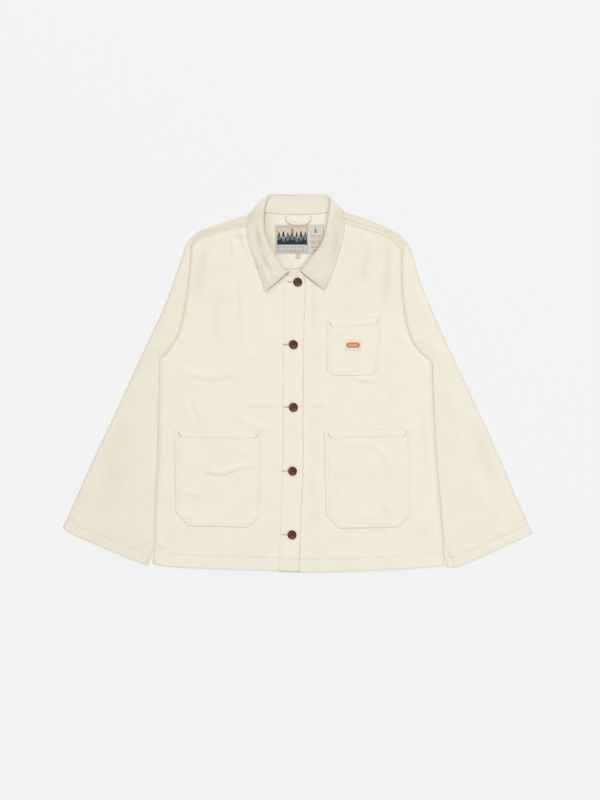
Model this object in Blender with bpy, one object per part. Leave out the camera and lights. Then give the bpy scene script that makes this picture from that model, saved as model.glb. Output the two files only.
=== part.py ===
"""A chore jacket laid flat on its back, buttoned up, as a wall of cloth for each piece that is sewn.

The jacket lies on the floor, collar towards +Y and front up. The wearer's right side is towards -X.
Tables are in millimetres, and place() turns them into metres.
"""

import bmesh
import bpy
import numpy as np

MM = 0.001
UP = np.array([0.0, 0.0, 1.0])
BACKWARD = np.array([0.0, 1.0, 0.0])  # the way the collar's roll faces behind the neck

# Driving sizes, in millimetres
CLOTH = 1.2  # one layer of heavy cotton twill
COLLAR = 1.6  # the collar's two layers, sewn and turned
TRIM = 1.0  # woven label, tab and tape
GAP = 0.3  # between pieces that are sewn or that lie on each other

SIDE_TOP = 2 * CLOTH + GAP  # top of the front where it is sewn to the back
FOLD_TOP = 3.3  # top of the cloth where a layer turns over into the next one
FULLNESS = 2.4  # how far the fronts stand off the back, over that
SLEEVE_FULLNESS = 2.3
NECK_LIFT = COLLAR + 0.5  # the back lies on the collar's fall there

# Where each rise starts and where it is whole: a pair on x, on y or inwards from an edge
LIFT_Y = (206.0, 296.0)
LIFT_X = (150.0, 100.0)
SEAM_Y = (5.0, 55.0)  # above the underarm the seam rises to a fold's height
SIDE_RUN = (0.0, 70.0)
HEM_RUN = (0.0, 60.0)
SHOULDER_RUN = (0.0, 60.0)
NECK_FLAT_Y = (195.0, 255.0)
NECK_FLAT_X = (130.0, 90.0)
DIP_X = (38.0, 12.0)  # the left front dips under the right one, inwards from the free edge
CUFF_RUN = (0.0, 0.12)  # shares of the sleeve's length
CAP_RUN = (1.0, 0.65)

# Shares of the fullness that are left at an edge
HEM_FULLNESS = 0.8
SHOULDER_FULLNESS = 0.5
NECK_FULLNESS = 0.4
CUFF_FULLNESS = 0.35

SHOULDER_SHARES = np.linspace(0.0, 1.0, 8) ** 1.2  # closer together towards the shoulder point
NECK_STEPS = 8
FRONT_NECK_STEPS = 7
SIDE_STEPS = 8
ARMHOLE_STEPS = 9
SLEEVE_COLUMNS = 7
UNDERARM_SHARE = 0.62  # how far up the sleeve's outer edge lies level with the underarm
TURN_STEPS = 4  # round a folded edge
STRIP_STEPS = 2

BUTTON_SPOKES = 20
BUTTON_HOLE = 0.9  # radius
BUTTON_HOLE_OUT = 1.35  # from the middle, along x and along y
PIN_DEPTH = 8.0
PIN_SIDES = 8
LOOP_WIDTH = 7.0

# Edges in plan, as (x, y) rows. "right" and "left" are the wearer's.
SIDE_SEAM = {
    "right": [(-279.5, -346.5), (-277.2, -297.0), (-273.6, -212.0), (-270.7, -163.0), (-268.0, -59.0),
              (-265.5, 44.6)],
    "left": [(280.7, -350.9), (279.6, -320.0), (272.6, -222.0), (267.1, -160.8), (262.0, -80.0),
             (257.1, 38.0)],
}
ARMHOLE = {
    "right": [(-265.5, 44.6), (-252.7, 56.5), (-233.0, 87.0), (-222.1, 121.0), (-214.1, 164.0),
              (-208.5, 212.6), (-206.0, 246.0), (-206.4, 262.5)],
    "left": [(257.1, 38.0), (250.0, 45.5), (234.0, 59.6), (218.7, 81.1), (208.3, 114.7), (201.6, 163.7),
             (199.1, 212.6), (199.7, 243.0), (202.0, 255.0)],
}
FORWARD_SEAM = {
    "right": [(-206.4, 262.5), (-187.4, 278.9), (-165.1, 287.5), (-140.2, 294.6), (-113.9, 299.6),
              (-92.2, 303.3), (-74.5, 306.0)],
    "left": [(202.0, 255.0), (190.0, 267.5), (173.6, 280.0), (151.7, 288.9), (130.6, 294.6),
             (109.4, 301.4), (90.2, 308.0), (74.0, 312.0)],
}
SHOULDER_FOLD = {
    "right": [(-208.9, 274.3), (-190.3, 290.0), (-167.8, 298.6), (-148.2, 305.8), (-128.6, 312.0),
              (-109.1, 318.0), (-92.0, 322.6), (-74.5, 327.5)],
    "left": [(210.4, 268.5), (194.7, 284.5), (176.0, 294.6), (148.2, 308.0), (118.5, 319.2),
             (95.0, 326.0), (74.0, 331.0)],
}
BACK_NECK = [(-74.5, 327.5), (-60.0, 329.5), (-40.0, 327.6), (0.0, 326.0), (40.0, 327.6), (60.0, 331.5),
             (74.0, 331.0)]
FRONT_NECK = {
    "right": [(5.8, 217.6), (-17.0, 218.0), (-26.0, 219.0), (-37.0, 224.5), (-47.0, 233.5),
              (-56.0, 246.0), (-64.0, 263.5), (-69.8, 280.0), (-73.2, 295.0), (-74.5, 306.0)],
    "left": [(-27.5, 214.6), (6.0, 215.6), (17.0, 219.0), (30.0, 228.0), (41.0, 240.0),
             (50.5, 254.0), (59.0, 270.0), (67.0, 288.0), (72.0, 301.0), (74.0, 312.0)],
}
FREE_EDGE = [(3.3, -361.6), (6.3, -283.0), (10.6, -160.8), (10.6, -38.0), (11.7, 84.0),
             (14.8, 186.0), (12.0, 204.0), (5.8, 217.6)]
UNDERLAP = 40.0  # how far the left front reaches under the right one
HEM = [(-279.5, -346.5), (-265.0, -350.0), (-223.0, -353.6), (-140.0, -357.0), (-60.0, -358.8),
       (3.3, -361.6), (57.6, -360.9), (130.0, -358.8), (195.8, -356.4), (280.7, -350.9)]
SLEEVE_OUTER = {
    "right": [(-210.2, 273.4), (-214.8, 263.1), (-219.8, 248.2), (-226.6, 228.0), (-252.7, 154.5),
              (-303.0, 45.0), (-353.7, -66.0), (-384.4, -130.1), (-436.4, -246.4), (-450.4, -278.6)],
    "left": [(211.6, 267.4), (214.8, 261.6), (219.2, 248.2), (234.2, 196.3), (262.0, 128.0),
             (291.1, 63.8), (335.8, -32.0), (377.1, -121.2), (410.1, -200.7), (438.3, -263.5),
             (449.1, -288.3)],
}
SLEEVE_INNER = {
    "right": [(-266.0, 44.9), (-267.6, -15.0), (-268.8, -59.0), (-271.5, -163.0), (-274.4, -212.0),
              (-278.2, -300.0), (-281.0, -331.0), (-289.0, -349.9)],
    "left": [(257.6, 38.3), (260.0, -20.0), (262.8, -80.0), (268.0, -160.8), (273.4, -222.0),
             (280.6, -320.0), (281.8, -340.0), (285.6, -353.8)],
}
CUFF = {
    "right": [(-450.4, -278.6), (-437.8, -287.6), (-418.6, -296.6), (-385.9, -310.6), (-355.2, -323.6),
              (-322.6, -337.2), (-289.0, -349.9)],
    "left": [(449.1, -288.3), (426.2, -299.5), (387.8, -317.0), (349.4, -334.4), (316.0, -348.6),
             (301.4, -353.4), (285.6, -353.8)],
}

# Each pocket's sections, from its mouth to its foot: left (x, y) and right (x, y)
POCKET_SECTIONS = {
    "pocket_chest": [
        (53.5, 121.0, 161.5, 127.0),
        (55.0, 27.0, 157.0, 31.0),
        (67.0, 14.0, 143.5, 14.0),
    ],
    "pocket_right": [
        (-238.5, -89.2, -67.4, -92.0),
        (-235.0, -247.0, -70.5, -253.0),
        (-211.0, -274.0, -97.0, -277.0),
    ],
    "pocket_left": [
        (49.7, -91.5, 218.3, -87.6),
        (53.0, -252.0, 219.0, -251.0),
        (79.0, -279.0, 193.0, -276.8),
    ],
}
POCKET_BOW = 1.2  # the mouth's rise at its middle
POCKET_COLUMNS = 8
POCKET_ROWS = (5, 2)  # down to the cut corner, and from there to the foot

BUTTONS = [(-0.5, 194.0), (-8.9, 74.2), (-8.8, -46.2), (-10.4, -168.4), (-11.3, -290.5)]
# A button's turned section, from the edge of its flat dish over the rim to its foot: (radius, height)
BUTTON_PROFILE = [(3.6, 1.7), (5.2, 2.1), (6.2, 2.9), (7.2, 3.2), (8.1, 2.8), (8.5, 1.9),
                  (7.9, 0.6), (6.0, 0.0)]

# The collar's sections on the fronts, from its front end: seam (x, y), roll (x, y) and outer edge (x, y)
COLLAR_FRONT = {
    "right": [
        (-21.0, 216.4, -17.3, 214.2, -63.4, 174.2),
        (-32.0, 219.0, -26.0, 221.6, -68.4, 190.5),
        (-48.0, 230.0, -36.0, 235.2, -75.6, 210.3),
        (-58.5, 244.0, -45.0, 249.2, -83.6, 232.0),
        (-67.0, 262.0, -54.0, 265.8, -91.2, 253.0),
        (-72.8, 279.5, -61.0, 282.4, -96.6, 273.0),
        (-76.2, 296.0, -64.6, 300.0, -98.6, 291.0),
        (-77.2, 305.0, -65.1, 312.0, -98.2, 304.0),
        (-77.6, 313.0, -64.8, 322.0, -97.0, 316.5),
    ],
    "left": [
        (8.0, 217.6, 3.8, 215.5, 49.9, 178.1),
        (20.0, 219.6, 12.0, 223.6, 56.0, 187.0),
        (33.5, 228.0, 22.5, 236.8, 63.8, 204.0),
        (44.5, 241.0, 32.5, 250.0, 71.4, 225.0),
        (54.0, 255.5, 43.4, 264.0, 78.2, 246.0),
        (62.5, 271.5, 50.2, 281.0, 84.0, 266.0),
        (70.5, 290.0, 54.2, 298.0, 88.6, 285.0),
        (75.6, 303.0, 56.2, 312.0, 89.3, 300.0),
        (76.6, 311.5, 57.8, 322.0, 88.8, 315.0),
    ],
}
# Its sections round the side of the neck. The turn is the angle from a fall that lies over its stand, 0,
# to one that lies under it, 180. Then (x, y, z) of the seam, the roll, two places on the fall, and the edge.
COLLAR_TURN = {
    "right": [
        (12, -76.6, 320.0, 7.2, -64.0, 332.0, 8.8,
         -73.0, 333.5, 9.2, -84.5, 332.0, 8.0, -94.8, 327.0, 6.9),
        (35, -71.3, 325.5, 6.3, -61.0, 344.0, 7.6,
         -70.5, 347.0, 7.0, -82.0, 338.0, 3.0, -91.6, 324.4, 0.9),
        (65, -69.5, 328.0, 4.9, -57.0, 355.0, 6.4,
         -66.5, 354.5, 4.4, -77.5, 339.0, 0.9, -86.0, 311.0, 0.8),
        (100, -65.5, 328.3, 4.5, -52.5, 360.4, 4.6,
         -60.0, 353.0, 1.7, -67.0, 334.0, 0.8, -72.0, 306.0, 0.8),
        (145, -57.0, 327.0, 4.5, -46.5, 361.3, 3.0,
         -49.5, 347.0, 0.9, -52.0, 327.0, 0.8, -55.0, 304.0, 0.8),
    ],
    "left": [
        (12, 75.8, 321.0, 7.3, 59.6, 333.0, 8.8,
         69.0, 334.5, 9.2, 79.6, 334.0, 8.0, 88.6, 331.8, 7.1),
        (35, 70.8, 327.0, 6.3, 61.0, 344.0, 7.6,
         69.0, 346.5, 7.0, 79.5, 339.0, 3.0, 86.8, 329.8, 0.9),
        (65, 69.0, 329.6, 5.0, 59.6, 353.5, 6.4,
         66.0, 352.5, 4.4, 75.0, 339.0, 0.9, 82.0, 314.0, 0.8),
        (100, 65.0, 329.6, 4.5, 55.6, 360.2, 4.6,
         61.0, 353.0, 1.7, 66.0, 334.0, 0.8, 70.0, 306.5, 0.8),
        (145, 56.0, 328.0, 4.5, 48.0, 361.6, 3.0,
         50.5, 347.0, 0.9, 52.5, 327.0, 0.8, 54.0, 304.0, 0.8),
    ],
}
COLLAR_BACK = [-38.0, -25.0, -12.5, 0.0, 12.5, 25.0, 38.0]  # x of the sections behind the neck
COLLAR_TOP_Y = 361.6
COLLAR_FALL_Y = 303.0
COLLAR_SEAM_Y = [(-60.0, 327.5), (-40.0, 324.8), (0.0, 323.2), (40.0, 324.8), (60.0, 328.6)]
ROLL_RADIUS = 1.35
ROLL_STEPS = 4
FALL_SHARES = (0.34, 0.67, 1.0)  # of the way from the roll to the outer edge, on the fronts
BACK_FALL_SHARES = (0.25, 0.6, 1.0)  # and behind the neck
WHOLE_SWING = 150.0  # the turn at which the roll faces straight back
SEAM_CLEARANCE = 0.1  # under the collar's stand where it laps the back

LOOP_PATH = [(-21.5, 320.6), (-20.0, 313.0), (-13.5, 307.4), (0.0, 306.0), (13.0, 306.8), (20.5, 312.0),
             (23.0, 320.6)]
LOOP_STEPS = 14
LOOP_CLIMB = 1.6  # how steeply it climbs on to the label
NECK_LABEL = (-43.8, 248.6, 49.6, 304.4)  # x, y of one corner and of the other
SIZE_TAB = (-4.3, 239.5, 4.5, 248.2)
CHEST_TAB = (89.5, 62.0, 121.5, 84.0)


def smooth(t):
    """0 below 0, 1 above 1, and a soft S between them."""
    t = np.clip(t, 0.0, 1.0)
    return t * t * (3.0 - 2.0 * t)


def ramp(value, ends):
    """0 at one end of a run, 1 at the other and past it, and a soft S between them."""
    return smooth((value - ends[0]) / (ends[1] - ends[0]))


def curve(rows, steps=None, at=None):
    """Even steps, or given shares of its length, along a Catmull-Rom curve through the rows."""
    rows = np.asarray(rows, float)
    ends = np.vstack([2 * rows[0] - rows[1], rows, 2 * rows[-1] - rows[-2]])
    t = np.linspace(0.0, 1.0, 12, endpoint=False)[:, None]
    dense = [
        0.5 * (2 * b + (c - a) * t + (2 * a - 5 * b + 4 * c - d) * t**2 + (3 * (b - c) + d - a) * t**3)
        for a, b, c, d in zip(ends, ends[1:], ends[2:], ends[3:])
    ]
    dense = np.vstack(dense + [rows[-1]])
    length = np.r_[0.0, np.cumsum(np.linalg.norm(np.diff(dense, axis=0), axis=1))]
    share = np.linspace(0.0, 1.0, steps + 1) if at is None else np.asarray(at)
    return np.column_stack([np.interp(share * length[-1], length, axis) for axis in dense.T])


def shares(points):
    """How far along its own length each point of a line is, from 0 to 1."""
    length = np.r_[0.0, np.cumsum(np.linalg.norm(np.diff(points, axis=0), axis=1))]
    return length / length[-1]


def patch(bottom, top, first, last, u, v):
    """A Coons patch: ruled both ways between its four edges, less the flat patch of its corners."""
    u = u[None, :, None]
    v = v[:, None, None]
    across = (1 - u) * first[:, None] + u * last[:, None]
    along = (1 - v) * bottom[None] + v * top[None]
    corners = (1 - v) * ((1 - u) * bottom[0] + u * bottom[-1]) + v * ((1 - u) * top[0] + u * top[-1])
    return across + along - corners


def x_at(rows, y):
    """x of an edge that runs up the jacket."""
    rows = np.asarray(rows)
    return np.interp(y, rows[:, 1], rows[:, 0])


def y_at(rows, x):
    """y of an edge that runs across the jacket."""
    rows = np.asarray(sorted(rows))
    return np.interp(x, rows[:, 0], rows[:, 1])


def neck_lift(x, y):
    """How far the back is raised by the collar's fall, which lies under it."""
    return NECK_LIFT * ramp(y, LIFT_Y) * ramp(np.abs(x), LIFT_X)


def back_inside(x, y):
    """Top of the back."""
    return CLOTH + neck_lift(x, y)


def body_top(x, y):
    """Top of the upper layer: low along its seams, and some millimetres up off the back inside them."""
    right = x - x_at(SIDE_SEAM["right"] + ARMHOLE["right"], y)
    left = x_at(SIDE_SEAM["left"] + ARMHOLE["left"], y) - x
    in_from_side = np.minimum(right, left)
    in_from_hem = y - y_at(HEM, x)
    folds = SHOULDER_FOLD["right"] + SHOULDER_FOLD["left"]
    in_from_shoulder = y_at(folds, x) - y
    seam = SIDE_TOP + (FOLD_TOP - SIDE_TOP) * ramp(y, SEAM_Y)
    stand_off = ramp(in_from_side, SIDE_RUN)
    stand_off *= HEM_FULLNESS + (1 - HEM_FULLNESS) * ramp(in_from_hem, HEM_RUN)
    stand_off *= SHOULDER_FULLNESS + (1 - SHOULDER_FULLNESS) * ramp(in_from_shoulder, SHOULDER_RUN)
    stand_off *= 1 - (1 - NECK_FULLNESS) * ramp(y, NECK_FLAT_Y) * ramp(np.abs(x), NECK_FLAT_X)
    return seam + neck_lift(x, y) + FULLNESS * stand_off


def left_front_top(x, y):
    """The left front dips under the right one by a layer and a gap."""
    return body_top(x, y) - (CLOTH + 2 * GAP) * ramp(x - x_at(FREE_EDGE, y), DIP_X)


def lay(plan, height):
    """Plan points with a height worked out for each."""
    return np.dstack([plan, height(plan[..., 0], plan[..., 1])])


def place(grid):
    """Millimetres to metres, as a list of points."""
    return np.asarray(grid, float).reshape(-1, 3) * MM


def grid_faces(rows, columns, flip, start):
    """Quads of a grid. Rows up and columns to the right face up, and flip turns them down."""
    i, j = np.meshgrid(np.arange(rows - 1), np.arange(columns - 1), indexing="ij")
    first = i * columns + j
    quads = np.stack([first, first + 1, first + columns + 1, first + columns], axis=-1).reshape(-1, 4)
    quads = quads + start
    return (quads[:, ::-1] if flip else quads).tolist()


def material(name, srgb, roughness, metallic=0.0):
    """A plain finish, its colour given as 0 to 255."""
    made = bpy.data.materials.new(name)
    made.use_nodes = True
    linear = [((c / 255 + 0.055) / 1.055) ** 2.4 for c in srgb]
    shader = made.node_tree.nodes["Principled BSDF"]
    shader.inputs["Base Color"].default_value = (*linear, 1.0)
    shader.inputs["Roughness"].default_value = roughness
    shader.inputs["Metallic"].default_value = metallic
    made.diffuse_color = (*linear, 1.0)
    return made


def cloth_wall(name, grids, finish, thickness, offset=-1.0, flips=None):
    """A closed wall: an outer face of one or more grids that share edges, thickened by Solidify."""
    points = []
    faces = []
    for grid, flip in zip(grids, flips or [False] * len(grids)):
        rows, columns = grid.shape[:2]
        faces += grid_faces(rows, columns, flip, start=sum(len(p) for p in points))
        points.append(place(grid))
    mesh = bpy.data.meshes.new(name)
    mesh.from_pydata(np.vstack(points).tolist(), [], faces)
    if len(grids) > 1:
        work = bmesh.new()
        work.from_mesh(mesh)
        bmesh.ops.remove_doubles(work, verts=work.verts, dist=0.01 * MM)
        work.to_mesh(mesh)
        work.free()
    mesh.materials.append(finish)
    mesh.shade_smooth()
    mesh.set_sharp_from_angle(angle=np.radians(50))
    piece = bpy.data.objects.new(name, mesh)
    bpy.context.scene.collection.objects.link(piece)
    wall = piece.modifiers.new("wall", "SOLIDIFY")
    wall.thickness = thickness * MM
    wall.offset = offset
    return piece


def side_of_body(side):
    """Side seam, then armhole to the forward shoulder seam, hem to shoulder."""
    seam = curve(SIDE_SEAM[side], SIDE_STEPS)
    armhole = curve(ARMHOLE[side], ARMHOLE_STEPS)
    return np.vstack([seam, armhole[1:]])


def shoulder_turn(side):
    """The fold's points, unit steps from them towards the forward seam, and the forward seam's points."""
    fold = curve(SHOULDER_FOLD[side], at=SHOULDER_SHARES)
    seam = curve(FORWARD_SEAM[side], at=SHOULDER_SHARES)
    inward = (seam - fold) / np.linalg.norm(seam - fold, axis=1, keepdims=True)
    return fold, inward, seam - inward * GAP


def make_back(finish):
    """The back on the floor, and the strips that turn over the shoulders."""
    insets = {}
    strips = {}
    for side in ("right", "left"):
        fold, inward, seam = shoulder_turn(side)
        rows = turned_edge(fold, inward, neck_lift(*fold.T), body_top(*fold.T))
        start = rows[-1]
        end = np.column_stack([seam, body_top(*seam.T)])
        rows += [start + (end - start) * step / STRIP_STEPS for step in range(1, STRIP_STEPS + 1)]
        insets[side] = rows[0][:, :2]
        strips[side] = np.array(rows)
    neck = curve([insets["right"][-1], *BACK_NECK[1:-1], insets["left"][-1]], NECK_STEPS)
    top = np.vstack([insets["right"], neck[1:-1], insets["left"][::-1]])
    first = np.vstack([side_of_body("right"), insets["right"][0]])
    last = np.vstack([side_of_body("left"), insets["left"][0]])
    u = (top[:, 0] - top[0, 0]) / (top[-1, 0] - top[0, 0])
    v = shares(first)
    plan = patch(curve(HEM, at=u), top, first, last, u, v)
    floor = lay(plan, neck_lift)
    grids = [floor, strips["right"], strips["left"][:, ::-1]]
    return cloth_wall("back", grids, finish, CLOTH, flips=[True, True, True])


def make_front(side, finish):
    """A front: hem, side seam and armhole, forward shoulder seam, neckline and free edge."""
    outer = side_of_body(side)
    neck = curve(FRONT_NECK[side], FRONT_NECK_STEPS)
    edge = np.asarray(FREE_EDGE)
    if side == "left":
        edge = edge - [UNDERLAP, 0.0]
        edge[-1] = FRONT_NECK["left"][0]
    inner = np.vstack([curve(edge, len(outer) - len(neck)), neck[1:]])
    shoulder = curve(FORWARD_SEAM[side], at=SHOULDER_SHARES)
    hem_x = outer[0, 0] + (inner[0, 0] - outer[0, 0]) * SHOULDER_SHARES
    hem = np.column_stack([hem_x, y_at(HEM, hem_x)])
    hem[0] = outer[0]
    hem[-1] = inner[0]
    plan = patch(hem, shoulder, outer, inner, SHOULDER_SHARES, shares(outer))
    grid = lay(plan, body_top if side == "right" else left_front_top)
    return cloth_wall(f"front_{side}", [grid], finish, CLOTH, flips=[side == "left"])


def make_sleeve(side, finish):
    """A flattened tube: two layers that join at the outer edge and, below the armhole, at the inner one."""
    outward = -1.0 if side == "right" else 1.0
    armhole = curve(ARMHOLE[side], ARMHOLE_STEPS)
    along = np.gradient(armhole, axis=0)
    along /= np.linalg.norm(along, axis=1, keepdims=True)
    armhole += np.column_stack([along[:, 1], -along[:, 0]]) * outward * GAP
    inner = curve(SLEEVE_INNER[side][::-1], SIDE_STEPS)
    below = np.linspace(0.0, UNDERARM_SHARE, SIDE_STEPS + 1)
    beside = np.linspace(UNDERARM_SHARE, 1.0, ARMHOLE_STEPS + 1)
    outer = curve(SLEEVE_OUTER[side][::-1], at=np.r_[below, beside[1:]])
    last = np.vstack([inner, armhole[1:]])
    inward = last - outer
    inward = inward / np.linalg.norm(inward, axis=1, keepdims=True)
    under = np.arange(len(inner))
    outer_turn = turned_edge(outer, inward, 0 * outer[:, 0], FOLD_TOP + 0 * outer[:, 0])
    inner_turn = turned_edge(inner, -inward[under], 0 * inner[:, 0], FOLD_TOP + 0 * inner[:, 0])
    first = outer_turn[-1][:, :2]
    last[under] = inner_turn[-1][:, :2]
    u = np.linspace(0.0, 1.0, SLEEVE_COLUMNS + 1)
    v = np.linspace(0.0, 1.0, len(outer))
    cuff = curve([first[0], *CUFF[side][1:-1], last[0]], at=u)
    top = first[-1] + (last[-1] - first[-1]) * u[:, None]
    plan = patch(cuff, top, first, last, u, v)
    rise = CUFF_FULLNESS + (1 - CUFF_FULLNESS) * ramp(v, CUFF_RUN)
    rise *= SLEEVE_FULLNESS * ramp(v, CAP_RUN)
    upper = np.dstack([plan, FOLD_TOP + rise[:, None] * np.sin(np.pi * u)])
    lower = np.dstack([plan, np.zeros(plan.shape[:2])])
    grids = [upper, lower, np.array(outer_turn), np.array(inner_turn)]
    facing = side == "left"
    flips = [facing, not facing, not facing, facing]
    return cloth_wall(f"sleeve_{side}", grids, finish, CLOTH, flips=flips)


def turned_edge(edge, inward, low, high):
    """Rows of half a turn at a folded edge, from the lower layer to the upper one."""
    radius = (high - low) / 2
    rows = []
    for angle in np.radians(np.linspace(-90, 90, TURN_STEPS + 1)):
        plan = edge + inward * (radius * (1 - np.cos(angle)))[:, None]
        rows.append(np.column_stack([plan, low + radius * (1 + np.sin(angle))]))
    return rows


def on_front(x, y):
    """Middle of the collar's wall where it lies on a front."""
    return body_top(x, y) + GAP + COLLAR / 2


def roll_points(roll, apex, outward, turn):
    """Half a turn of the collar's roll, from stand to fall. Its outermost point faces apex."""
    turn = np.radians(turn)
    to_fall = UP * np.cos(turn) + outward * np.sin(turn)
    centre = roll - apex * ROLL_RADIUS
    angles = np.radians(np.linspace(0, 180, ROLL_STEPS + 1))
    return [centre + ROLL_RADIUS * (np.sin(a) * apex - np.cos(a) * to_fall) for a in angles]


def collar_section(seam, roll, apex, outward, turn, near, far, edge):
    """Points of one section: seam, stand, roll, fall and outer edge."""
    rolled = roll_points(roll, apex, outward, turn)
    stand = seam + (rolled[0] - seam) * 0.5
    return [seam, stand, *rolled, near, (near + far) / 2, far, (far + edge) / 2, edge]


def collar_half(side):
    """Sections from the collar's front end to just behind the neck."""
    inward = 1.0 if side == "right" else -1.0
    sections = []
    rolls = np.array([row[2:4] for row in COLLAR_FRONT[side]])
    along = np.gradient(rolls, axis=0)
    apexes = np.column_stack([along[:, 1], -along[:, 0], 0 * along[:, 0]]) * inward
    apexes = apexes / np.linalg.norm(along, axis=1, keepdims=True)
    for row, apex in zip(COLLAR_FRONT[side], apexes):
        seam, roll, edge = (np.array(row[k : k + 2]) for k in (0, 2, 4))
        over_stand = 2 * ROLL_RADIUS
        seam = np.array([*seam, on_front(*seam)])
        roll = np.array([*roll, on_front(*roll) + ROLL_RADIUS])
        fall = []
        for share in FALL_SHARES:
            x, y = roll[:2] + (edge - roll[:2]) * share
            fall.append(np.array([x, y, on_front(x, y) + over_stand * (1 - share**2.5)]))
        sections.append(collar_section(seam, roll, apex, UP, 0.0, *fall))
    for row in COLLAR_TURN[side]:
        turn = row[0]
        seam, roll, near, far, edge = (np.array(row[k : k + 3]) for k in (1, 4, 7, 10, 13))
        swing = np.radians(90 * smooth(turn / WHOLE_SWING))
        apex = np.array([np.cos(swing) * inward, np.sin(swing), 0.0])
        outward = np.array([-np.sin(swing) * inward, np.cos(swing), 0.0])
        sections.append(collar_section(seam, roll, apex, outward, turn, near, far, edge))
    return sections


def make_collar(finish):
    """Stand, roll and fall as one wall, through sections from one front end to the other."""
    behind = []
    depth = COLLAR_FALL_Y - COLLAR_TOP_Y
    on_back = CLOTH + NECK_LIFT + GAP + COLLAR / 2 + SEAM_CLEARANCE
    for x in COLLAR_BACK:
        seam = np.array([x, y_at(COLLAR_SEAM_Y, x), on_back])
        roll = np.array([x, COLLAR_TOP_Y, COLLAR / 2 + ROLL_RADIUS])
        fall = [np.array([x, COLLAR_TOP_Y + depth * share, COLLAR / 2]) for share in BACK_FALL_SHARES]
        behind.append(collar_section(seam, roll, BACKWARD, UP, 180.0, *fall))
    sections = collar_half("right") + behind + collar_half("left")[::-1]
    return cloth_wall("collar", [np.array(sections)], finish, COLLAR, offset=0.0)


def make_pocket(name, finish):
    """A patch pocket, laid on its front, through its mouth, the start of its cut corners and its foot."""
    sections = np.array(POCKET_SECTIONS[name])
    rows = []
    for upper, lower, count in zip(sections, sections[1:], POCKET_ROWS):
        rows += [upper + (lower - upper) * k / count for k in range(count)]
    rows = np.array([*rows, sections[-1]])[::-1]
    u = np.linspace(0, 1, POCKET_COLUMNS + 1)[None, :, None]
    plan = (1 - u) * rows[:, None, :2] + u * rows[:, None, 2:]
    up = np.linspace(0, 1, len(rows))[:, None]
    plan[..., 1] += POCKET_BOW * np.sin(np.pi * u[..., 0]) * up**3
    panel = body_top if name == "pocket_right" else left_front_top
    return cloth_wall(name, [lay(plan, lambda x, y: panel(x, y) + GAP + CLOTH)], finish, CLOTH)


def flat_patch(corners, columns, rows):
    """Plan points of a rectangle between two corners."""
    x = np.linspace(corners[0], corners[2], columns + 1)
    y = np.linspace(corners[1], corners[3], rows + 1)
    return np.dstack(np.meshgrid(x, y))


def make_loop(finish):
    """The hanger loop: a band along its path, up over the label's top edge."""
    path = curve(LOOP_PATH, LOOP_STEPS)
    along = np.gradient(path, axis=0)
    across = np.column_stack([-along[:, 1], along[:, 0]]) / np.linalg.norm(along, axis=1, keepdims=True)
    t = shares(path)
    base = back_inside(path[:, 0], path[:, 1]) + GAP + TRIM
    height = base + (TRIM + GAP) * smooth(np.sin(np.pi * t) * LOOP_CLIMB)
    offsets = np.linspace(-0.5, 0.5, 3) * LOOP_WIDTH
    rows = [np.column_stack([path + across * offset, height]) for offset in offsets]
    return cloth_wall("hanger_loop", [np.array(rows)], finish, TRIM)


def make_button(name, centre, finish):
    """A turned button with a rounded rim and a dished face, and four sewing holes."""
    x, y = centre
    base = body_top(x, y) + GAP
    work = bmesh.new()
    rings = []
    angles = np.linspace(0, 2 * np.pi, BUTTON_SPOKES, endpoint=False)
    for radius, height in BUTTON_PROFILE:
        ring = [(radius * np.cos(a), radius * np.sin(a), height) for a in angles]
        rings.append([work.verts.new(point) for point in place(ring)])
    work.faces.new(rings[0])
    work.faces.new(rings[-1][::-1])
    for inner, outer in zip(rings, rings[1:]):
        for k in range(BUTTON_SPOKES):
            n = (k + 1) % BUTTON_SPOKES
            work.faces.new((inner[k], outer[k], outer[n], inner[n]))
    mesh = bpy.data.meshes.new(name)
    work.to_mesh(mesh)
    work.free()
    mesh.materials.append(finish)
    mesh.shade_smooth()
    mesh.set_sharp_from_angle(angle=np.radians(40))
    button = bpy.data.objects.new(name, mesh)
    bpy.context.scene.collection.objects.link(button)
    button.location = (x * MM, y * MM, base * MM)
    cut = button.modifiers.new("sewing holes", "BOOLEAN")
    cut.operation = "DIFFERENCE"
    cut.object = hole_cutter(name, button.location)
    return button


def hole_cutter(name, at):
    """Four upright pins, one for each sewing hole."""
    work = bmesh.new()
    radius = BUTTON_HOLE * MM
    out = BUTTON_HOLE_OUT * MM
    for x, y in ((-out, -out), (-out, out), (out, -out), (out, out)):
        made = bmesh.ops.create_cone(work, cap_ends=True, segments=PIN_SIDES, radius1=radius,
                                     radius2=radius, depth=PIN_DEPTH * MM)
        bmesh.ops.translate(work, verts=made["verts"], vec=(x, y, 0.0))
    mesh = bpy.data.meshes.new(f"{name}_pins")
    work.to_mesh(mesh)
    work.free()
    pins = bpy.data.objects.new(f"{name}_pins", mesh)
    bpy.context.scene.collection.objects.link(pins)
    pins.location = at
    pins.hide_render = True
    pins.display_type = "WIRE"
    return pins


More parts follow.
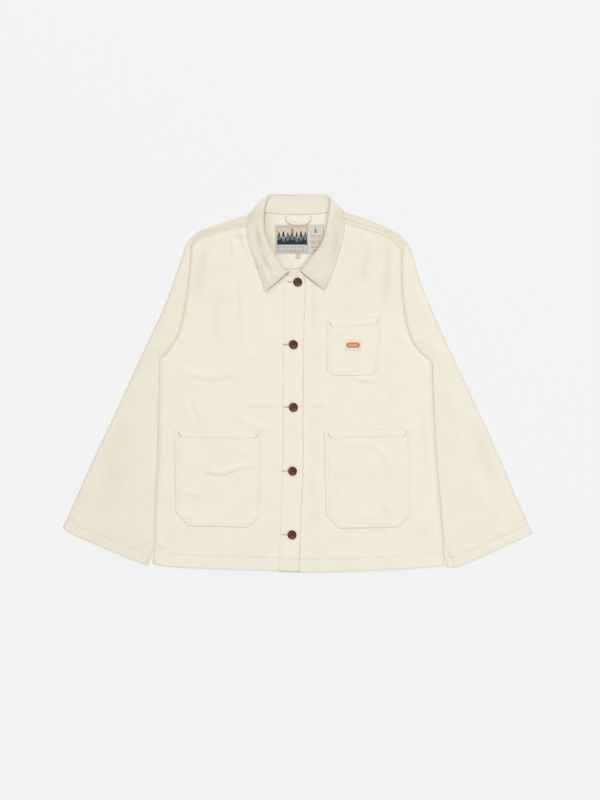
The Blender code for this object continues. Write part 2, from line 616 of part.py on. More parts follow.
def main():
    for obj in list(bpy.data.objects):
        bpy.data.objects.remove(obj)
    twill = material("cream twill", (237, 231, 212), 0.85)
    label_cloth = material("blush woven label", (224, 190, 168), 0.7)
    tab_cloth = material("orange woven tab", (214, 122, 62), 0.7)
    horn = material("dark horn", (84, 46, 36), 0.35)
    make_back(twill)
    for side in ("right", "left"):
        make_front(side, twill)
        make_sleeve(side, twill)
    make_collar(twill)
    for name in POCKET_SECTIONS:
        make_pocket(name, twill)
    label = lay(flat_patch(NECK_LABEL, 8, 6), lambda x, y: back_inside(x, y) + GAP + TRIM)
    cloth_wall("neck_label", [label], label_cloth, TRIM)
    tab = lay(flat_patch(SIZE_TAB, 1, 1), lambda x, y: back_inside(x, y) + GAP + TRIM)
    cloth_wall("size_tab", [tab], label_cloth, TRIM)
    on_pocket = 2 * GAP + CLOTH + TRIM
    chest = lay(flat_patch(CHEST_TAB, 2, 2), lambda x, y: left_front_top(x, y) + on_pocket)
    cloth_wall("chest_tab", [chest], tab_cloth, TRIM)
    make_loop(twill)
    for number, centre in enumerate(BUTTONS, start=1):
        make_button(f"button_{number}", centre, horn)


main()
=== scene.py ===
"""Looks of a cream chore jacket, laid flat on its back and buttoned up.

Plan tables and sizes are in millimetres, with x towards the wearer's left and y towards the collar, and
build() turns them into metres. "right" and "left" are the wearer's. Each cloth piece is a closed shell: a
middle surface on a grid, thickened along its normals, with its open edges rounded over.
"""

import bpy
import mathutils
import numpy as np
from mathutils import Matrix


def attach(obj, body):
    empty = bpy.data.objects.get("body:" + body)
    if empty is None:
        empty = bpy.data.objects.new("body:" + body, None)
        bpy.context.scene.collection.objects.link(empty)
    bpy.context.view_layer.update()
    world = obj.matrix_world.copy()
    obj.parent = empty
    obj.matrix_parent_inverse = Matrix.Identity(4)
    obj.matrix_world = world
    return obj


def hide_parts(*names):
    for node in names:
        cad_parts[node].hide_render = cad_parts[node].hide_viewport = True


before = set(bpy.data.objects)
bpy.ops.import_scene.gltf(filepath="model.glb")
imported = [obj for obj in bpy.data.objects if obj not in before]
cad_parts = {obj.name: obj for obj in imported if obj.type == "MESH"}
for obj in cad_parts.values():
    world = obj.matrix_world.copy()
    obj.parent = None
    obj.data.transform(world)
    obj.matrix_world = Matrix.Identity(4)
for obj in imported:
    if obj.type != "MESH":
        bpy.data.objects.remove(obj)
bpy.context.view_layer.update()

MM = 0.001
UP = np.array([0.0, 0.0, 1.0])
BACKWARD = np.array([0.0, 1.0, 0.0])

# ---------------------------------------------------------------- sizes of the cut pieces
CLOTH = 1.2
COLLAR = 1.6
TRIM = 1.0
TAB = 0.6
GAP = 0.3
SIDE_TOP = 2 * CLOTH + GAP  # top of the front where it is sewn to the back
FOLD_TOP = 3.3  # top of the cloth where a layer turns over into the next one
FLOOR_LIFT = 0.32  # room under the lowest cloth for its stitches
FULLNESS = 2.4  # how far the fronts stand off the back
SLEEVE_FULLNESS = 2.3  # and a sleeve's upper layer off its lower one
NECK_LIFT = COLLAR + 0.5  # the back lies on the collar's fall there

# How much thicker a turned edge is
PLACKET_RISE = 0.35
HEM_RISE = 0.3
POCKET_RISE = 0.45

# Where each rise starts and where it is whole: a pair on x, on y or inwards from an edge
LIFT_Y = (206.0, 296.0)
LIFT_X = (150.0, 100.0)
SEAM_Y = (5.0, 55.0)
SIDE_RUN = (0.0, 70.0)
HEM_RUN = (0.0, 60.0)
SHOULDER_RUN = (0.0, 60.0)
NECK_FLAT_Y = (195.0, 255.0)
NECK_FLAT_X = (130.0, 90.0)
DIP_X = (38.0, 12.0)
CUFF_RUN = (0.0, 0.12)
CAP_RUN = (1.0, 0.65)
EDGE_RISE = (0.0, 16.0)
EDGE_DROP = (6.0, 0.0)
CALM_EDGE = (0.0, 6.0)
UNDER_COLLAR = (-8.0, 1.0)
COLLAR_REACH_X = (104.0, 98.0)

# A front swells near its sewn edge, and falls to it
EDGE_SWELL = 0.6
EDGE_FALL = 0.9

# The share of the fullness that is left at the hem, the shoulders, the neck and the cuffs
HEM_FULLNESS = 0.8
SHOULDER_FULLNESS = 0.5
NECK_FULLNESS = 0.4
CUFF_FULLNESS = 0.35

SIDE_SEAM = {
    "right": [(-279.5, -346.5), (-277.2, -297.0), (-273.6, -212.0), (-270.7, -163.0), (-268.0, -59.0),
              (-265.5, 44.6)],
    "left": [(280.7, -350.9), (279.6, -320.0), (272.6, -222.0), (267.1, -160.8), (262.0, -80.0),
             (257.1, 38.0)],
}
ARMHOLE = {
    "right": [(-265.5, 44.6), (-252.7, 56.5), (-233.0, 87.0), (-222.1, 121.0), (-214.1, 164.0),
              (-208.5, 212.6), (-206.0, 246.0), (-206.4, 262.5)],
    "left": [(257.1, 38.0), (250.0, 45.5), (234.0, 59.6), (218.7, 81.1), (208.3, 114.7), (201.6, 163.7),
             (199.1, 212.6), (199.7, 243.0), (202.0, 255.0)],
}
FORWARD_SEAM = {
    "right": [(-206.4, 262.5), (-187.4, 278.9), (-165.1, 287.5), (-140.2, 294.6), (-113.9, 299.6),
              (-92.2, 303.3), (-74.5, 306.0)],
    "left": [(202.0, 255.0), (190.0, 267.5), (173.6, 280.0), (151.7, 288.9), (130.6, 294.6), (109.4, 301.4),
             (90.2, 308.0), (74.0, 312.0)],
}
SHOULDER_FOLD = {
    "right": [(-208.9, 274.3), (-190.3, 290.0), (-167.8, 298.6), (-148.2, 305.8), (-128.6, 312.0),
              (-109.1, 318.0), (-92.0, 322.6), (-74.5, 327.5)],
    "left": [(210.4, 268.5), (194.7, 284.5), (176.0, 294.6), (148.2, 308.0), (118.5, 319.2), (95.0, 326.0),
             (74.0, 331.0)],
}
BACK_NECK = [(-74.5, 327.5), (-60.0, 329.5), (-40.0, 327.6), (0.0, 326.0), (40.0, 327.6), (60.0, 331.5),
             (74.0, 331.0)]
FRONT_NECK = {
    "right": [(5.8, 217.6), (-17.0, 218.0), (-26.0, 219.0), (-37.0, 224.5), (-47.0, 233.5), (-56.0, 246.0),
              (-64.0, 263.5), (-69.8, 280.0), (-73.2, 295.0), (-74.5, 306.0)],
    "left": [(-27.5, 214.6), (6.0, 215.6), (17.0, 219.0), (30.0, 228.0), (41.0, 240.0), (50.5, 254.0),
             (59.0, 270.0), (67.0, 288.0), (72.0, 301.0), (74.0, 312.0)],
}
FREE_EDGE = [(3.3, -361.6), (6.3, -283.0), (10.6, -160.8), (10.6, -38.0), (11.7, 84.0), (14.8, 186.0),
             (12.0, 204.0), (5.8, 217.6)]
UNDERLAP = 40.0
HEM = [(-279.5, -346.5), (-265.0, -350.0), (-223.0, -353.6), (-140.0, -357.0), (-60.0, -358.8), (3.3, -361.6),
       (57.6, -360.9), (130.0, -358.8), (195.8, -356.4), (280.7, -350.9)]
SLEEVE_OUTER = {
    "right": [(-210.2, 273.4), (-214.8, 263.1), (-219.8, 248.2), (-226.6, 228.0), (-252.7, 154.5),
              (-303.0, 45.0), (-353.7, -66.0), (-384.4, -130.1), (-436.4, -246.4), (-450.4, -278.6)],
    "left": [(211.6, 267.4), (214.8, 261.6), (219.2, 248.2), (234.2, 196.3), (262.0, 128.0), (291.1, 63.8),
             (335.8, -32.0), (377.1, -121.2), (410.1, -200.7), (438.3, -263.5), (449.1, -288.3)],
}
SLEEVE_INNER = {
    "right": [(-266.0, 44.9), (-267.6, -15.0), (-268.8, -59.0), (-271.5, -163.0), (-274.4, -212.0),
              (-278.2, -300.0), (-281.0, -331.0), (-289.0, -349.9)],
    "left": [(257.6, 38.3), (260.0, -20.0), (262.8, -80.0), (268.0, -160.8), (273.4, -222.0), (280.6, -320.0),
             (281.8, -340.0), (285.6, -353.8)],
}
CUFF = {
    "right": [(-450.4, -278.6), (-437.8, -287.6), (-418.6, -296.6), (-385.9, -310.6), (-355.2, -323.6),
              (-322.6, -337.2), (-289.0, -349.9)],
    "left": [(449.1, -288.3), (426.2, -299.5), (387.8, -317.0), (349.4, -334.4), (316.0, -348.6),
             (301.4, -353.4), (285.6, -353.8)],
}
# A pocket's sections, from its mouth to its foot: left (x, y) and right (x, y)
POCKET_SECTIONS = {
    "pocket_chest": [(53.5, 121.0, 161.5, 127.0), (55.0, 27.0, 157.0, 31.0), (67.0, 14.0, 143.5, 14.0)],
    "pocket_right": [(-238.5, -89.2, -67.4, -92.0), (-235.0, -247.0, -70.5, -253.0),
                     (-211.0, -274.0, -97.0, -277.0)],
    "pocket_left": [(49.7, -91.5, 218.3, -87.6), (53.0, -252.0, 219.0, -251.0),
                    (79.0, -279.0, 193.0, -276.8)],
}
POCKET_BOW = 1.2
BUTTONS = [(-0.5, 194.0), (-8.9, 74.2), (-8.8, -46.2), (-10.4, -168.4), (-11.3, -290.5)]

# The collar's sections on the fronts, from its front end: seam (x, y), roll (x, y) and outer edge (x, y)
COLLAR_FRONT = {
    "right": [
        (-21.0, 216.4, -17.3, 214.2, -63.4, 174.2),
        (-32.0, 219.0, -26.0, 221.6, -68.4, 190.5),
        (-48.0, 230.0, -36.0, 235.2, -75.6, 210.3),
        (-58.5, 244.0, -45.0, 249.2, -83.6, 232.0),
        (-67.0, 262.0, -54.0, 265.8, -91.2, 253.0),
        (-72.8, 279.5, -61.0, 282.4, -96.6, 273.0),
        (-76.2, 296.0, -64.6, 300.0, -98.6, 291.0),
        (-77.2, 305.0, -65.1, 312.0, -98.2, 304.0),
        (-77.6, 313.0, -64.8, 322.0, -97.0, 316.5),
    ],
    "left": [
        (8.0, 217.6, 3.8, 215.5, 49.9, 178.1),
        (20.0, 219.6, 12.0, 223.6, 56.0, 187.0),
        (33.5, 228.0, 22.5, 236.8, 63.8, 204.0),
        (44.5, 241.0, 32.5, 250.0, 71.4, 225.0),
        (54.0, 255.5, 43.4, 264.0, 78.2, 246.0),
        (62.5, 271.5, 50.2, 281.0, 84.0, 266.0),
        (70.5, 290.0, 54.2, 298.0, 88.6, 285.0),
        (75.6, 303.0, 56.2, 312.0, 89.3, 300.0),
        (76.6, 311.5, 57.8, 322.0, 88.8, 315.0),
    ],
}
# Its sections round the side of the neck. The turn is the angle from a fall that lies over its stand, 0,
# to one that lies under it, 180. Then (x, y, z) of the seam, the roll, two places on the fall, and the edge.
COLLAR_TURN = {
    "right": [
        (12, -76.6, 320.0, 7.2, -64.0, 332.0, 8.8,
         -73.0, 333.5, 9.2, -84.0, 330.0, 8.0, -94.0, 323.4, 6.9),
        (35, -71.3, 325.5, 6.3, -61.0, 344.0, 7.6,
         -70.5, 347.0, 7.0, -82.0, 338.0, 3.0, -91.6, 324.4, 0.9),
        (65, -69.5, 328.0, 4.9, -57.0, 355.0, 6.4,
         -66.5, 354.5, 4.4, -77.5, 339.0, 0.9, -86.0, 311.0, 0.8),
        (100, -65.5, 328.3, 4.5, -52.5, 360.4, 4.6,
         -60.0, 353.0, 1.7, -67.0, 334.0, 0.8, -72.0, 306.0, 0.8),
        (145, -57.0, 327.0, 4.5, -46.5, 361.3, 3.0,
         -49.5, 347.0, 0.9, -52.0, 327.0, 0.8, -55.0, 304.0, 0.8),
    ],
    "left": [
        (12, 75.8, 321.0, 7.3, 59.6, 333.0, 8.8,
         69.0, 334.5, 9.2, 79.2, 332.6, 8.0, 87.4, 329.2, 7.1),
        (35, 70.8, 327.0, 6.3, 61.0, 344.0, 7.6,
         69.0, 346.5, 7.0, 79.5, 339.0, 3.0, 86.8, 329.8, 0.9),
        (65, 69.0, 329.6, 5.0, 59.6, 353.5, 6.4,
         66.0, 352.5, 4.4, 75.0, 339.0, 0.9, 82.0, 314.0, 0.8),
        (100, 65.0, 329.6, 4.5, 55.6, 360.2, 4.6,
         61.0, 353.0, 1.7, 66.0, 334.0, 0.8, 70.0, 306.5, 0.8),
        (145, 56.0, 328.0, 4.5, 48.0, 361.6, 3.0,
         50.5, 347.0, 0.9, 52.5, 327.0, 0.8, 54.0, 304.0, 0.8),
    ],
}
COLLAR_BACK = [-38.0, -25.0, -12.5, 0.0, 12.5, 25.0, 38.0]
COLLAR_TOP_Y = 361.6
COLLAR_FALL_Y = 303.0
COLLAR_SEAM_Y = [(-60.0, 327.5), (-40.0, 324.8), (0.0, 323.2), (40.0, 324.8), (60.0, 328.6)]
ROLL_RADIUS = 1.35
ROLL_STEPS = 4
FALL_SHARES = (0.34, 0.67, 1.0)
BACK_FALL_SHARES = (0.25, 0.6, 1.0)
WHOLE_SWING = 150.0
SEAM_CLEARANCE = 0.1

LOOP_PATH = [(-21.5, 320.6), (-20.0, 313.0), (-13.5, 307.4), (0.0, 306.0), (13.0, 306.8), (20.5, 312.0),
             (23.0, 320.6)]
LOOP_WIDTH = 7.0
LOOP_CLIMB = 1.6
NECK_LABEL = (-43.8, 248.6, 49.6, 304.4)
SIZE_TAB = (-4.3, 239.5, 4.5, 248.2)
CHEST_TAB = (89.5, 62.0, 121.5, 84.0)
BAR_STRAIGHT = 16.0
BAR_RADIUS = 5.2
STRIPE = 1.6

# ---------------------------------------------------------------- columns and rows near an edge
RIM = 0.7  # an open edge is rounded over this far
NO_EDGE = 1e6
RIM_STEPS = [0.0, 0.1, 0.35, 0.8]
PLAIN_EDGE = RIM_STEPS + [2.0, 4.0, 7.0]
STITCHED_EDGE = RIM_STEPS + [1.4, 2.0, 2.6, 4.0, 5.6, 6.4, 7.2, 8.0, 9.6]  # double row, at 2.0 and 7.2
FIRST_ROW, SECOND_ROW = 2.0, 7.2
COLLAR_EDGE = RIM_STEPS + [1.8, 3.2, 4.0, 4.8, 6.4, 8.2, 9.2, 10.0, 10.8, 12.6]
COLLAR_ROWS = (4.0, 10.0)
HEM_ROW = 25.0
HEM_EDGE = RIM_STEPS + [2.0, 4.0, 8.0, 12.0, 16.0, 20.0, 23.0, 24.2, 25.0, 25.8, 27.0, 29.5]
CUFF_ROW = 20.0
CUFF_EDGE = RIM_STEPS + [2.0, 4.0, 7.0, 10.0, 13.0, 16.0, 18.2, 19.2, 20.0, 20.8, 22.0, 24.5]
ROW_WIDTH = 1.3
ROW_SHADE = 0.5  # how dark a row of stitches looks: painted shade for the shadow in its groove and holes
HOLLOW_SHADE = 0.22  # how much darker a trough looks for each millimetre of its depth
GROOVE = 0.35  # how deep a row of stitches pulls the cloth down
PLACKET_ROW = 40.0
NECK_ROWS = (4.2, 11.0)  # rows below the placket's top edge
PLACKET_EDGE = RIM_STEPS + [1.4, 2.0, 2.6, 4.0, 7.0, 11.0, 15.0, 19.0, 23.0, 27.0, 31.0, 35.0, 38.0, 39.2,
                            40.0, 40.8, 42.0, 44.5]
MOUTH_ROW = 14.4
MOUTH_EDGE = RIM_STEPS + [1.6, 3.0, 6.0, 9.0, 12.0, 13.6, 14.4, 15.2, 16.8]
SHOULDER_ROW = 3.2
SHOULDER_EDGE = RIM_STEPS + [1.6, 2.4, 3.2, 4.0, 4.8, 6.2, 8.0, 10.0, 12.0]
SHOULDER_PITCH = 6.5  # of the gathers along the forward shoulder seam
STRIP_ROW = {"right": 4.2, "left": 6.6}
STRIP_EDGE = [8.0, 7.3, 6.6, 5.9, 5.2, 4.2, 3.4, 2.6, 1.6, 0.8, 0.4, 0.12, 0.0]
STRIP_SHARES = [0.3, 0.55, 0.8]  # of the way from the turn to the first of the steps above
TURN_STEPS = 8

# Painted shade at an edge or a fold, where the cloth turns away from the light, and the collar tip's painted
# shadow: how dark, and over what width
SIDE_SHADE = (0.6, 5.0)
HEM_SHADE = (0.4, 1.6)
PLACKET_SHADE = (0.5, 1.6)
CUFF_SHADE = (0.35, 1.6)
SLEEVE_FOLD_SHADE = (0.6, 1.8)
SHOULDER_FOLD_SHADE = (0.8, 3.0)
MOUTH_SHADE = (0.45, 1.5)
COLLAR_SHADE = (0.5, 1.7)
TURN_SHADE = (0.4, 13.0)  # the fall turns away from the light where it goes over the shoulder
TIP_SHADE = (0.8, 6.0)
LOOP_SHADE = (1.0, 3.2)

# Even columns and rows between the fixed ones near the edges
CELLS = {
    "front": (64, 190),
    "back": (118, 100),
    "sleeve": (46, 150),
    "collar": (34, 190),
    "pocket_chest": (34, 34),
    "pocket_right": (54, 54),
    "pocket_left": (54, 54),
    "size_tab": (8, 8),
}

# ---------------------------------------------------------------- creases: width, height, (x, y) along it
CREASE = 2.0  # scales every height
CREASES = {
    "front_right": [
        (7.0, 0.85, [(-234, 31), (-210, 20), (-182, 14), (-150, 14), (-109, 20)]),
        (8.0, 0.7, [(-226, -18), (-208, -50), (-196, -80)]),
        (4.5, -0.9, [(-206, -34), (-199, -58), (-189, -82)]),
        (4.5, -0.3, [(-228, 22), (-204, 10), (-178, 4), (-144, 5), (-104, 12)]),
        (2.6, -0.5, [(-106, -46), (-66, -47), (-28, -47)]),
        (6.0, 0.7, [(-121, -59), (-92, -75), (-67, -83), (-44, -84)]),
        (3.0, -0.5, [(-118, 208), (-112, 135), (-106, 58)]),
        (12.0, -0.7, [(-174, 274), (-187, 217), (-199, 150)]),
        (5.0, 0.9, [(-152, 284), (-167, 252), (-181, 222)]),
        (4.0, 0.9, [(-128, 290), (-125, 268), (-121, 240)]),
        (5.5, -0.9, [(-130, 282), (-115, 278), (-96, 280)]),
        (4.0, 0.9, [(-270, -292), (-263, -307), (-250, -318)]),
        (5.0, 0.35, [(-30, 43), (-10, 43), (10, 42)]),
        (4.0, 0.3, [(-32, -7), (-12, -7), (8, -9)]),
        (4.0, 0.3, [(-32, -31), (-12, -32), (8, -32)]),
        (11.0, 0.45, [(-62, 150), (-68, 60), (-74, -20)]),
        (9.0, 0.5, [(-246, 70), (-216, 92), (-186, 98)]),
        (10.0, -0.5, [(-150, 190), (-160, 120), (-158, 60)]),
        (9.0, 0.4, [(-255, -120), (-258, -180), (-262, -240)]),
        (8.0, 0.4, [(-60, -120), (-58, -190), (-62, -250)]),
    ],
    "front_left": [
        (6.0, 0.8, [(20, 214), (18, 150), (17, 66)]),
        (4.0, -0.6, [(29, 204), (27, 140), (25, 78)]),
        (5.0, 0.5, [(44, 200), (41, 150), (40, 98)]),
        (6.0, 0.85, [(96, 10), (123, 9), (158, 5)]),
        (4.0, -0.5, [(100, 2), (126, 1), (156, -3)]),
        (6.0, 0.75, [(80, -36), (98, -6), (131, 10)]),
        (8.0, 0.9, [(225, 26), (196, -6), (178, -36), (168, -80)]),
        (6.0, 0.45, [(138, -24), (136, -55), (136, -86)]),
        (2.6, -0.5, [(12, -47), (45, -47), (82, -46)]),
        (7.0, 0.45, [(52, -48), (66, -48), (84, -46)]),
        (9.0, 0.7, [(246, -54), (252, -200), (258, -328)]),
        (6.0, 0.45, [(230, -90), (236, -170), (238, -250)]),
        (5.0, -0.8, [(240, -60), (245, -150), (248, -230)]),
        (6.0, -0.7, [(232, -302), (246, -286), (260, -268)]),
        (4.5, 0.9, [(148, 272), (140, 246), (131, 212)]),
        (8.0, -0.6, [(138, 272), (132, 240), (122, 190)]),
        (7.0, -0.75, [(176, 260), (169, 205), (165, 140)]),
        (4.0, 0.8, [(186, 252), (180, 216), (178, 176)]),
        (4.0, 0.5, [(190, 200), (189, 170), (192, 140)]),
        (8.0, 0.55, [(119, 186), (112, 160), (106, 134)]),
        (3.0, 0.8, [(110, 297), (121, 290), (136, 283)]),
        (9.0, 0.5, [(236, 66), (206, 84), (180, 88)]),
        (8.0, 0.4, [(36, -110), (34, -190), (38, -260)]),
        (10.0, 0.4, [(110, 240), (100, 200), (96, 160)]),
    ],
    "back": [
        (9.0, 0.6, [(-190, 150), (-120, 120), (-40, 125)]),
        (9.0, 0.6, [(180, 170), (110, 130), (40, 125)]),
        (8.0, 0.6, [(-220, -20), (-150, -60), (-60, -70)]),
        (8.0, 0.6, [(210, -40), (130, -70), (50, -66)]),
        (11.0, 0.5, [(-150, -150), (-140, -230), (-150, -300)]),
        (11.0, 0.5, [(120, -140), (128, -230), (120, -300)]),
        (7.0, 0.5, [(-60, 60), (0, 20), (70, 30)]),
    ],
    "pocket_right": [
        (5.0, 0.8, [(-178, -165), (-158, -171), (-138, -169), (-114, -160), (-88, -155)]),
        (3.4, -1.0, [(-186, -172), (-160, -180), (-137, -179), (-112, -170), (-78, -162)]),
        (4.5, 0.5, [(-208, -204), (-198, -213), (-180, -210)]),
        (3.4, -0.3, [(-216, -210), (-200, -223), (-180, -218)]),
        (6.0, 0.5, [(-190, -150), (-198, -166), (-196, -184)]),
        (9.0, 0.35, [(-150, -110), (-120, -130), (-90, -128)]),
        (5.0, 0.4, [(-152, -226), (-149, -240), (-150, -262)]),
    ],
    "pocket_left": [
        (7.0, 0.8, [(78, -126), (104, -115), (129, -116), (153, -125), (169, -141), (179, -165),
                    (181, -190)]),
        (6.0, 0.75, [(165, -216), (170, -238), (180, -258)]),
        (8.0, 0.35, [(84, -160), (80, -200), (88, -236)]),
        (7.0, 0.35, [(110, -246), (135, -256), (160, -254)]),
    ],
    "pocket_chest": [
        (6.0, 0.35, [(70, 100), (90, 97), (112, 99)]),
        (6.0, 0.3, [(142, 95), (145, 70), (140, 46)]),
    ],
    "sleeve_right": [
        (9.0, 0.7, [(-226, 190), (-243, 150), (-262, 108)]),
        (10.0, 0.6, [(-250, 92), (-268, 70), (-290, 60)]),
        (12.0, 0.6, [(-276, 20), (-300, -40), (-322, -110)]),
        (4.0, 0.9, [(-300, -314), (-288, -304), (-277, -292)]),
        (22.0, -0.4, [(-336, -60), (-352, -160), (-372, -262)]),
        (2.2, -1.3, [(-283, -322), (-288, -334), (-291, -348)]),
        (2.6, 1.0, [(-292, -318), (-296, -332), (-299, -345)]),
        (2.4, 0.8, [(-312, -322), (-310, -331), (-313, -338)]),
        (5.0, 0.6, [(-436, -246), (-424, -262), (-418, -280)]),
        (10.0, 0.5, [(-300, -150), (-310, -210), (-312, -270)]),
    ],
    "sleeve_left": [
        (9.0, 0.7, [(222, 190), (238, 150), (256, 110)]),
        (10.0, 0.6, [(246, 84), (266, 64), (286, 56)]),
        (12.0, 0.55, [(276, 10), (300, -50), (318, -120)]),
        (2.2, -1.5, [(282, -318), (291, -328), (297, -342), (301, -354)]),
        (3.0, 1.2, [(284, -330), (288, -340), (291, -353)]),
        (11.0, 0.5, [(318, -176), (350, -220), (388, -264)]),
        (12.0, -0.5, [(330, -70), (356, -140), (380, -210)]),
    ],
    "collar": [
        (4.0, -1.4, [(-80, 304), (-78, 280), (-75, 252)]),
        (4.2, -1.3, [(-73, 252), (-64, 232), (-50, 212)]),
        (3.2, 0.7, [(-86, 262), (-80, 240), (-72, 218)]),
        (3.0, 0.8, [(-70, 290), (-66, 268), (-60, 246)]),
        (2.6, 0.7, [(-52, 214), (-44, 206), (-32, 206)]),
        (2.4, 0.6, [(-66, 208), (-58, 198), (-52, 186)]),
        (3.0, 0.8, [(-79, 214), (-72, 196), (-66, 184)]),
        (7.0, -1.0, [(70, 306), (72, 280), (66, 240)]),
        (4.0, 0.7, [(58, 302), (62, 276), (58, 250)]),
        (2.6, 0.7, [(30, 206), (38, 196), (50, 188)]),
        (2.4, 0.6, [(58, 214), (58, 202), (54, 192)]),
        (7.0, 0.3, [(40, 236), (34, 220), (30, 210)]),
    ],
}


# ---------------------------------------------------------------- curves and grids
def smooth(t):
    """0 below 0, 1 above 1, and a soft S between them."""
    t = np.clip(t, 0.0, 1.0)
    return t * t * (3.0 - 2.0 * t)


def ramp(value, ends):
    """0 at one end of a run, 1 at the other and past it, and a soft S between them."""
    return smooth((value - ends[0]) / (ends[1] - ends[0]))


def bell(distance, width):
    """1 at a line, falling to nothing about two widths to both sides of it."""
    return np.exp(-((distance / width) ** 2))


def walked(points, axis=0):
    """How far along a line of points, or along a grid's rows or columns, each point is."""
    step = np.linalg.norm(np.diff(points, axis=axis), axis=-1)
    return np.insert(np.cumsum(step, axis=axis), 0, 0.0, axis=axis)


CURVE_STEPS = 12  # between two given points
LINE_STEPS = 160


def curve(rows, steps=None, at=None):
    """Even steps, or given shares of its length, along a Catmull-Rom curve through the rows."""
    rows = np.asarray(rows, float)
    ends = np.vstack([2 * rows[0] - rows[1], rows, 2 * rows[-1] - rows[-2]])
    t = np.linspace(0.0, 1.0, CURVE_STEPS, endpoint=False)[:, None]
    spans = [
        0.5 * (2 * b + (c - a) * t + (2 * a - 5 * b + 4 * c - d) * t**2 + (3 * (b - c) + d - a) * t**3)
        for a, b, c, d in zip(ends, ends[1:], ends[2:], ends[3:])
    ]
    fine = np.vstack(spans + [rows[-1]])
    length = walked(fine)
    share = np.linspace(0.0, 1.0, steps + 1) if at is None else np.asarray(at)
    return np.column_stack([np.interp(share * length[-1], length, axis) for axis in fine.T])


def straight(start, end, count):
    """Points at even steps from one place to another."""
    start, end = np.array(start), np.array(end)
    return start + (end - start) * np.linspace(0.0, 1.0, count)[:, None]


def patch(bottom, top, first, last, u, v):
    """A Coons patch: ruled both ways between its four edges, less the flat patch of its corners."""
    u = u[None, :, None]
    v = v[:, None, None]
    across = (1 - u) * first[:, None] + u * last[:, None]
    along = (1 - v) * bottom[None] + v * top[None]
    corners = (1 - v) * ((1 - u) * bottom[0] + u * bottom[-1]) + v * ((1 - u) * top[0] + u * top[-1])
    return across + along - corners


def refine(grid, count, near, far):
    """New columns: fixed distances in from both sides, squeezed where a row is short, and even steps between
    them, on a curve through each row."""
    near = np.asarray(near)
    far = np.asarray(far)[::-1]
    rows = []
    for row in grid:
        length = walked(row)[-1]
        squeeze = min(1.0, 0.8 * length / (near[-1] + far[0]))
        middle = np.linspace(near[-1] * squeeze, length - far[0] * squeeze, count + 1)[1:-1]
        at = np.concatenate([near * squeeze, middle, length - far * squeeze]) / length
        rows.append(curve(row, at=at))
    return np.array(rows)


def refine_both(grid, cells, left, right, foot, head):
    """New columns, and then new rows in the same way."""
    wide = refine(grid, cells[0], left, right)
    return refine(wide.transpose(1, 0, 2), cells[1], foot, head).transpose(1, 0, 2)


def unit(vectors):
    """Each vector over its own length."""
    return vectors / np.maximum(np.linalg.norm(vectors, axis=-1, keepdims=True), 1e-9)


def dense(rows):
    """A curve fine enough to look places up on."""
    return curve(rows, LINE_STEPS)


SIDES = ("right", "left")
SIDE_LINE = {side: np.vstack([dense(SIDE_SEAM[side])[:-1], dense(ARMHOLE[side])]) for side in SIDES}
HEM_LINE = dense(HEM)
FREE_LINE = dense(FREE_EDGE)
FOLD_LINE = np.vstack([dense(SHOULDER_FOLD["right"]), dense(SHOULDER_FOLD["left"])[::-1]])
COLLAR_LOW = np.array([
    *(row[4:6] for row in COLLAR_FRONT["right"][::-1]),
    *(COLLAR_FRONT[side][0][2:4] for side in SIDES),
    *(row[4:6] for row in COLLAR_FRONT["left"]),
])


def x_at(line, y):
    """x of an edge that runs up the jacket."""
    return np.interp(y, line[:, 1], line[:, 0])


def y_at(line, x):
    """y of an edge that runs across the jacket."""
    return np.interp(x, line[:, 0], line[:, 1])


def from_body_side(x, y):
    """How far a place is in from the body's side seam or armhole, whichever is nearer."""
    return np.minimum(x - x_at(SIDE_LINE["right"], y), x_at(SIDE_LINE["left"], y) - x)


# ---------------------------------------------------------------- relief of the cloth
def beside(x, y, path):
    """Distance of each point from a path, and how far along the path its nearest place is."""
    x, y = np.broadcast_arrays(x, y)
    points = np.stack([x, y], axis=-1).reshape(-1, 1, 2)
    start = path[:-1]
    step = np.diff(path, axis=0)
    t = np.clip(((points - start) * step).sum(-1) / (step**2).sum(-1), 0.0, 1.0)
    away = np.linalg.norm(points - start - step * t[..., None], axis=-1)
    nearest = away.argmin(axis=1)
    pick = np.arange(len(nearest))
    length = walked(path)
    place = length[nearest] + t[pick, nearest] * np.diff(length)[nearest]
    return away[pick, nearest].reshape(x.shape), place.reshape(x.shape)


def in_reach(x, y, path, reach):
    """Which places lie in the path's box, grown by three reaches."""
    low = path.min(axis=0) - 3 * reach
    high = path.max(axis=0) + 3 * reach
    return (x > low[0]) & (x < high[0]) & (y > low[1]) & (y < high[1])


def creases(x, y, rows):
    """Soft ridges and troughs: a bell across each path, its height falling to nothing at both ends."""
    height = np.zeros(np.shape(x))
    for width, rise, points in rows:
        path = curve(points, 24)
        near = in_reach(x, y, path, width)
        if near.any():
            away, place = beside(x[near], y[near], path)
            share = place / walked(path)[-1]
            fade = np.sin(np.pi * np.clip(share, 0.0, 1.0)) ** 0.7
            height[near] += CREASE * rise * bell(away, width) * fade
    return height


FOUR_WAVES, SEVEN_WAVES = 2.2, 2.6  # about the greatest height of so many waves added up


def wander(t, seed, shortest, longest):
    """A slow irregular wave between about -1 and 1: four sines of random length and phase."""
    draw = np.random.default_rng(seed)
    lengths = draw.uniform(shortest, longest, 4)
    phases = draw.uniform(0, 2 * np.pi, 4)
    return sum(np.sin(2 * np.pi * t / length + phase) for length, phase in zip(lengths, phases)) / FOUR_WAVES


def ripple(place, pitch, seed):
    """A wave along a seam whose spacing and height both wander, as cloth gathers between stitches."""
    phase = 2 * np.pi * place / pitch + 2.2 * wander(place, seed, 5 * pitch, 12 * pitch)
    return np.sin(phase) * (0.6 + 0.4 * wander(place, seed + 1, 4 * pitch, 9 * pitch))


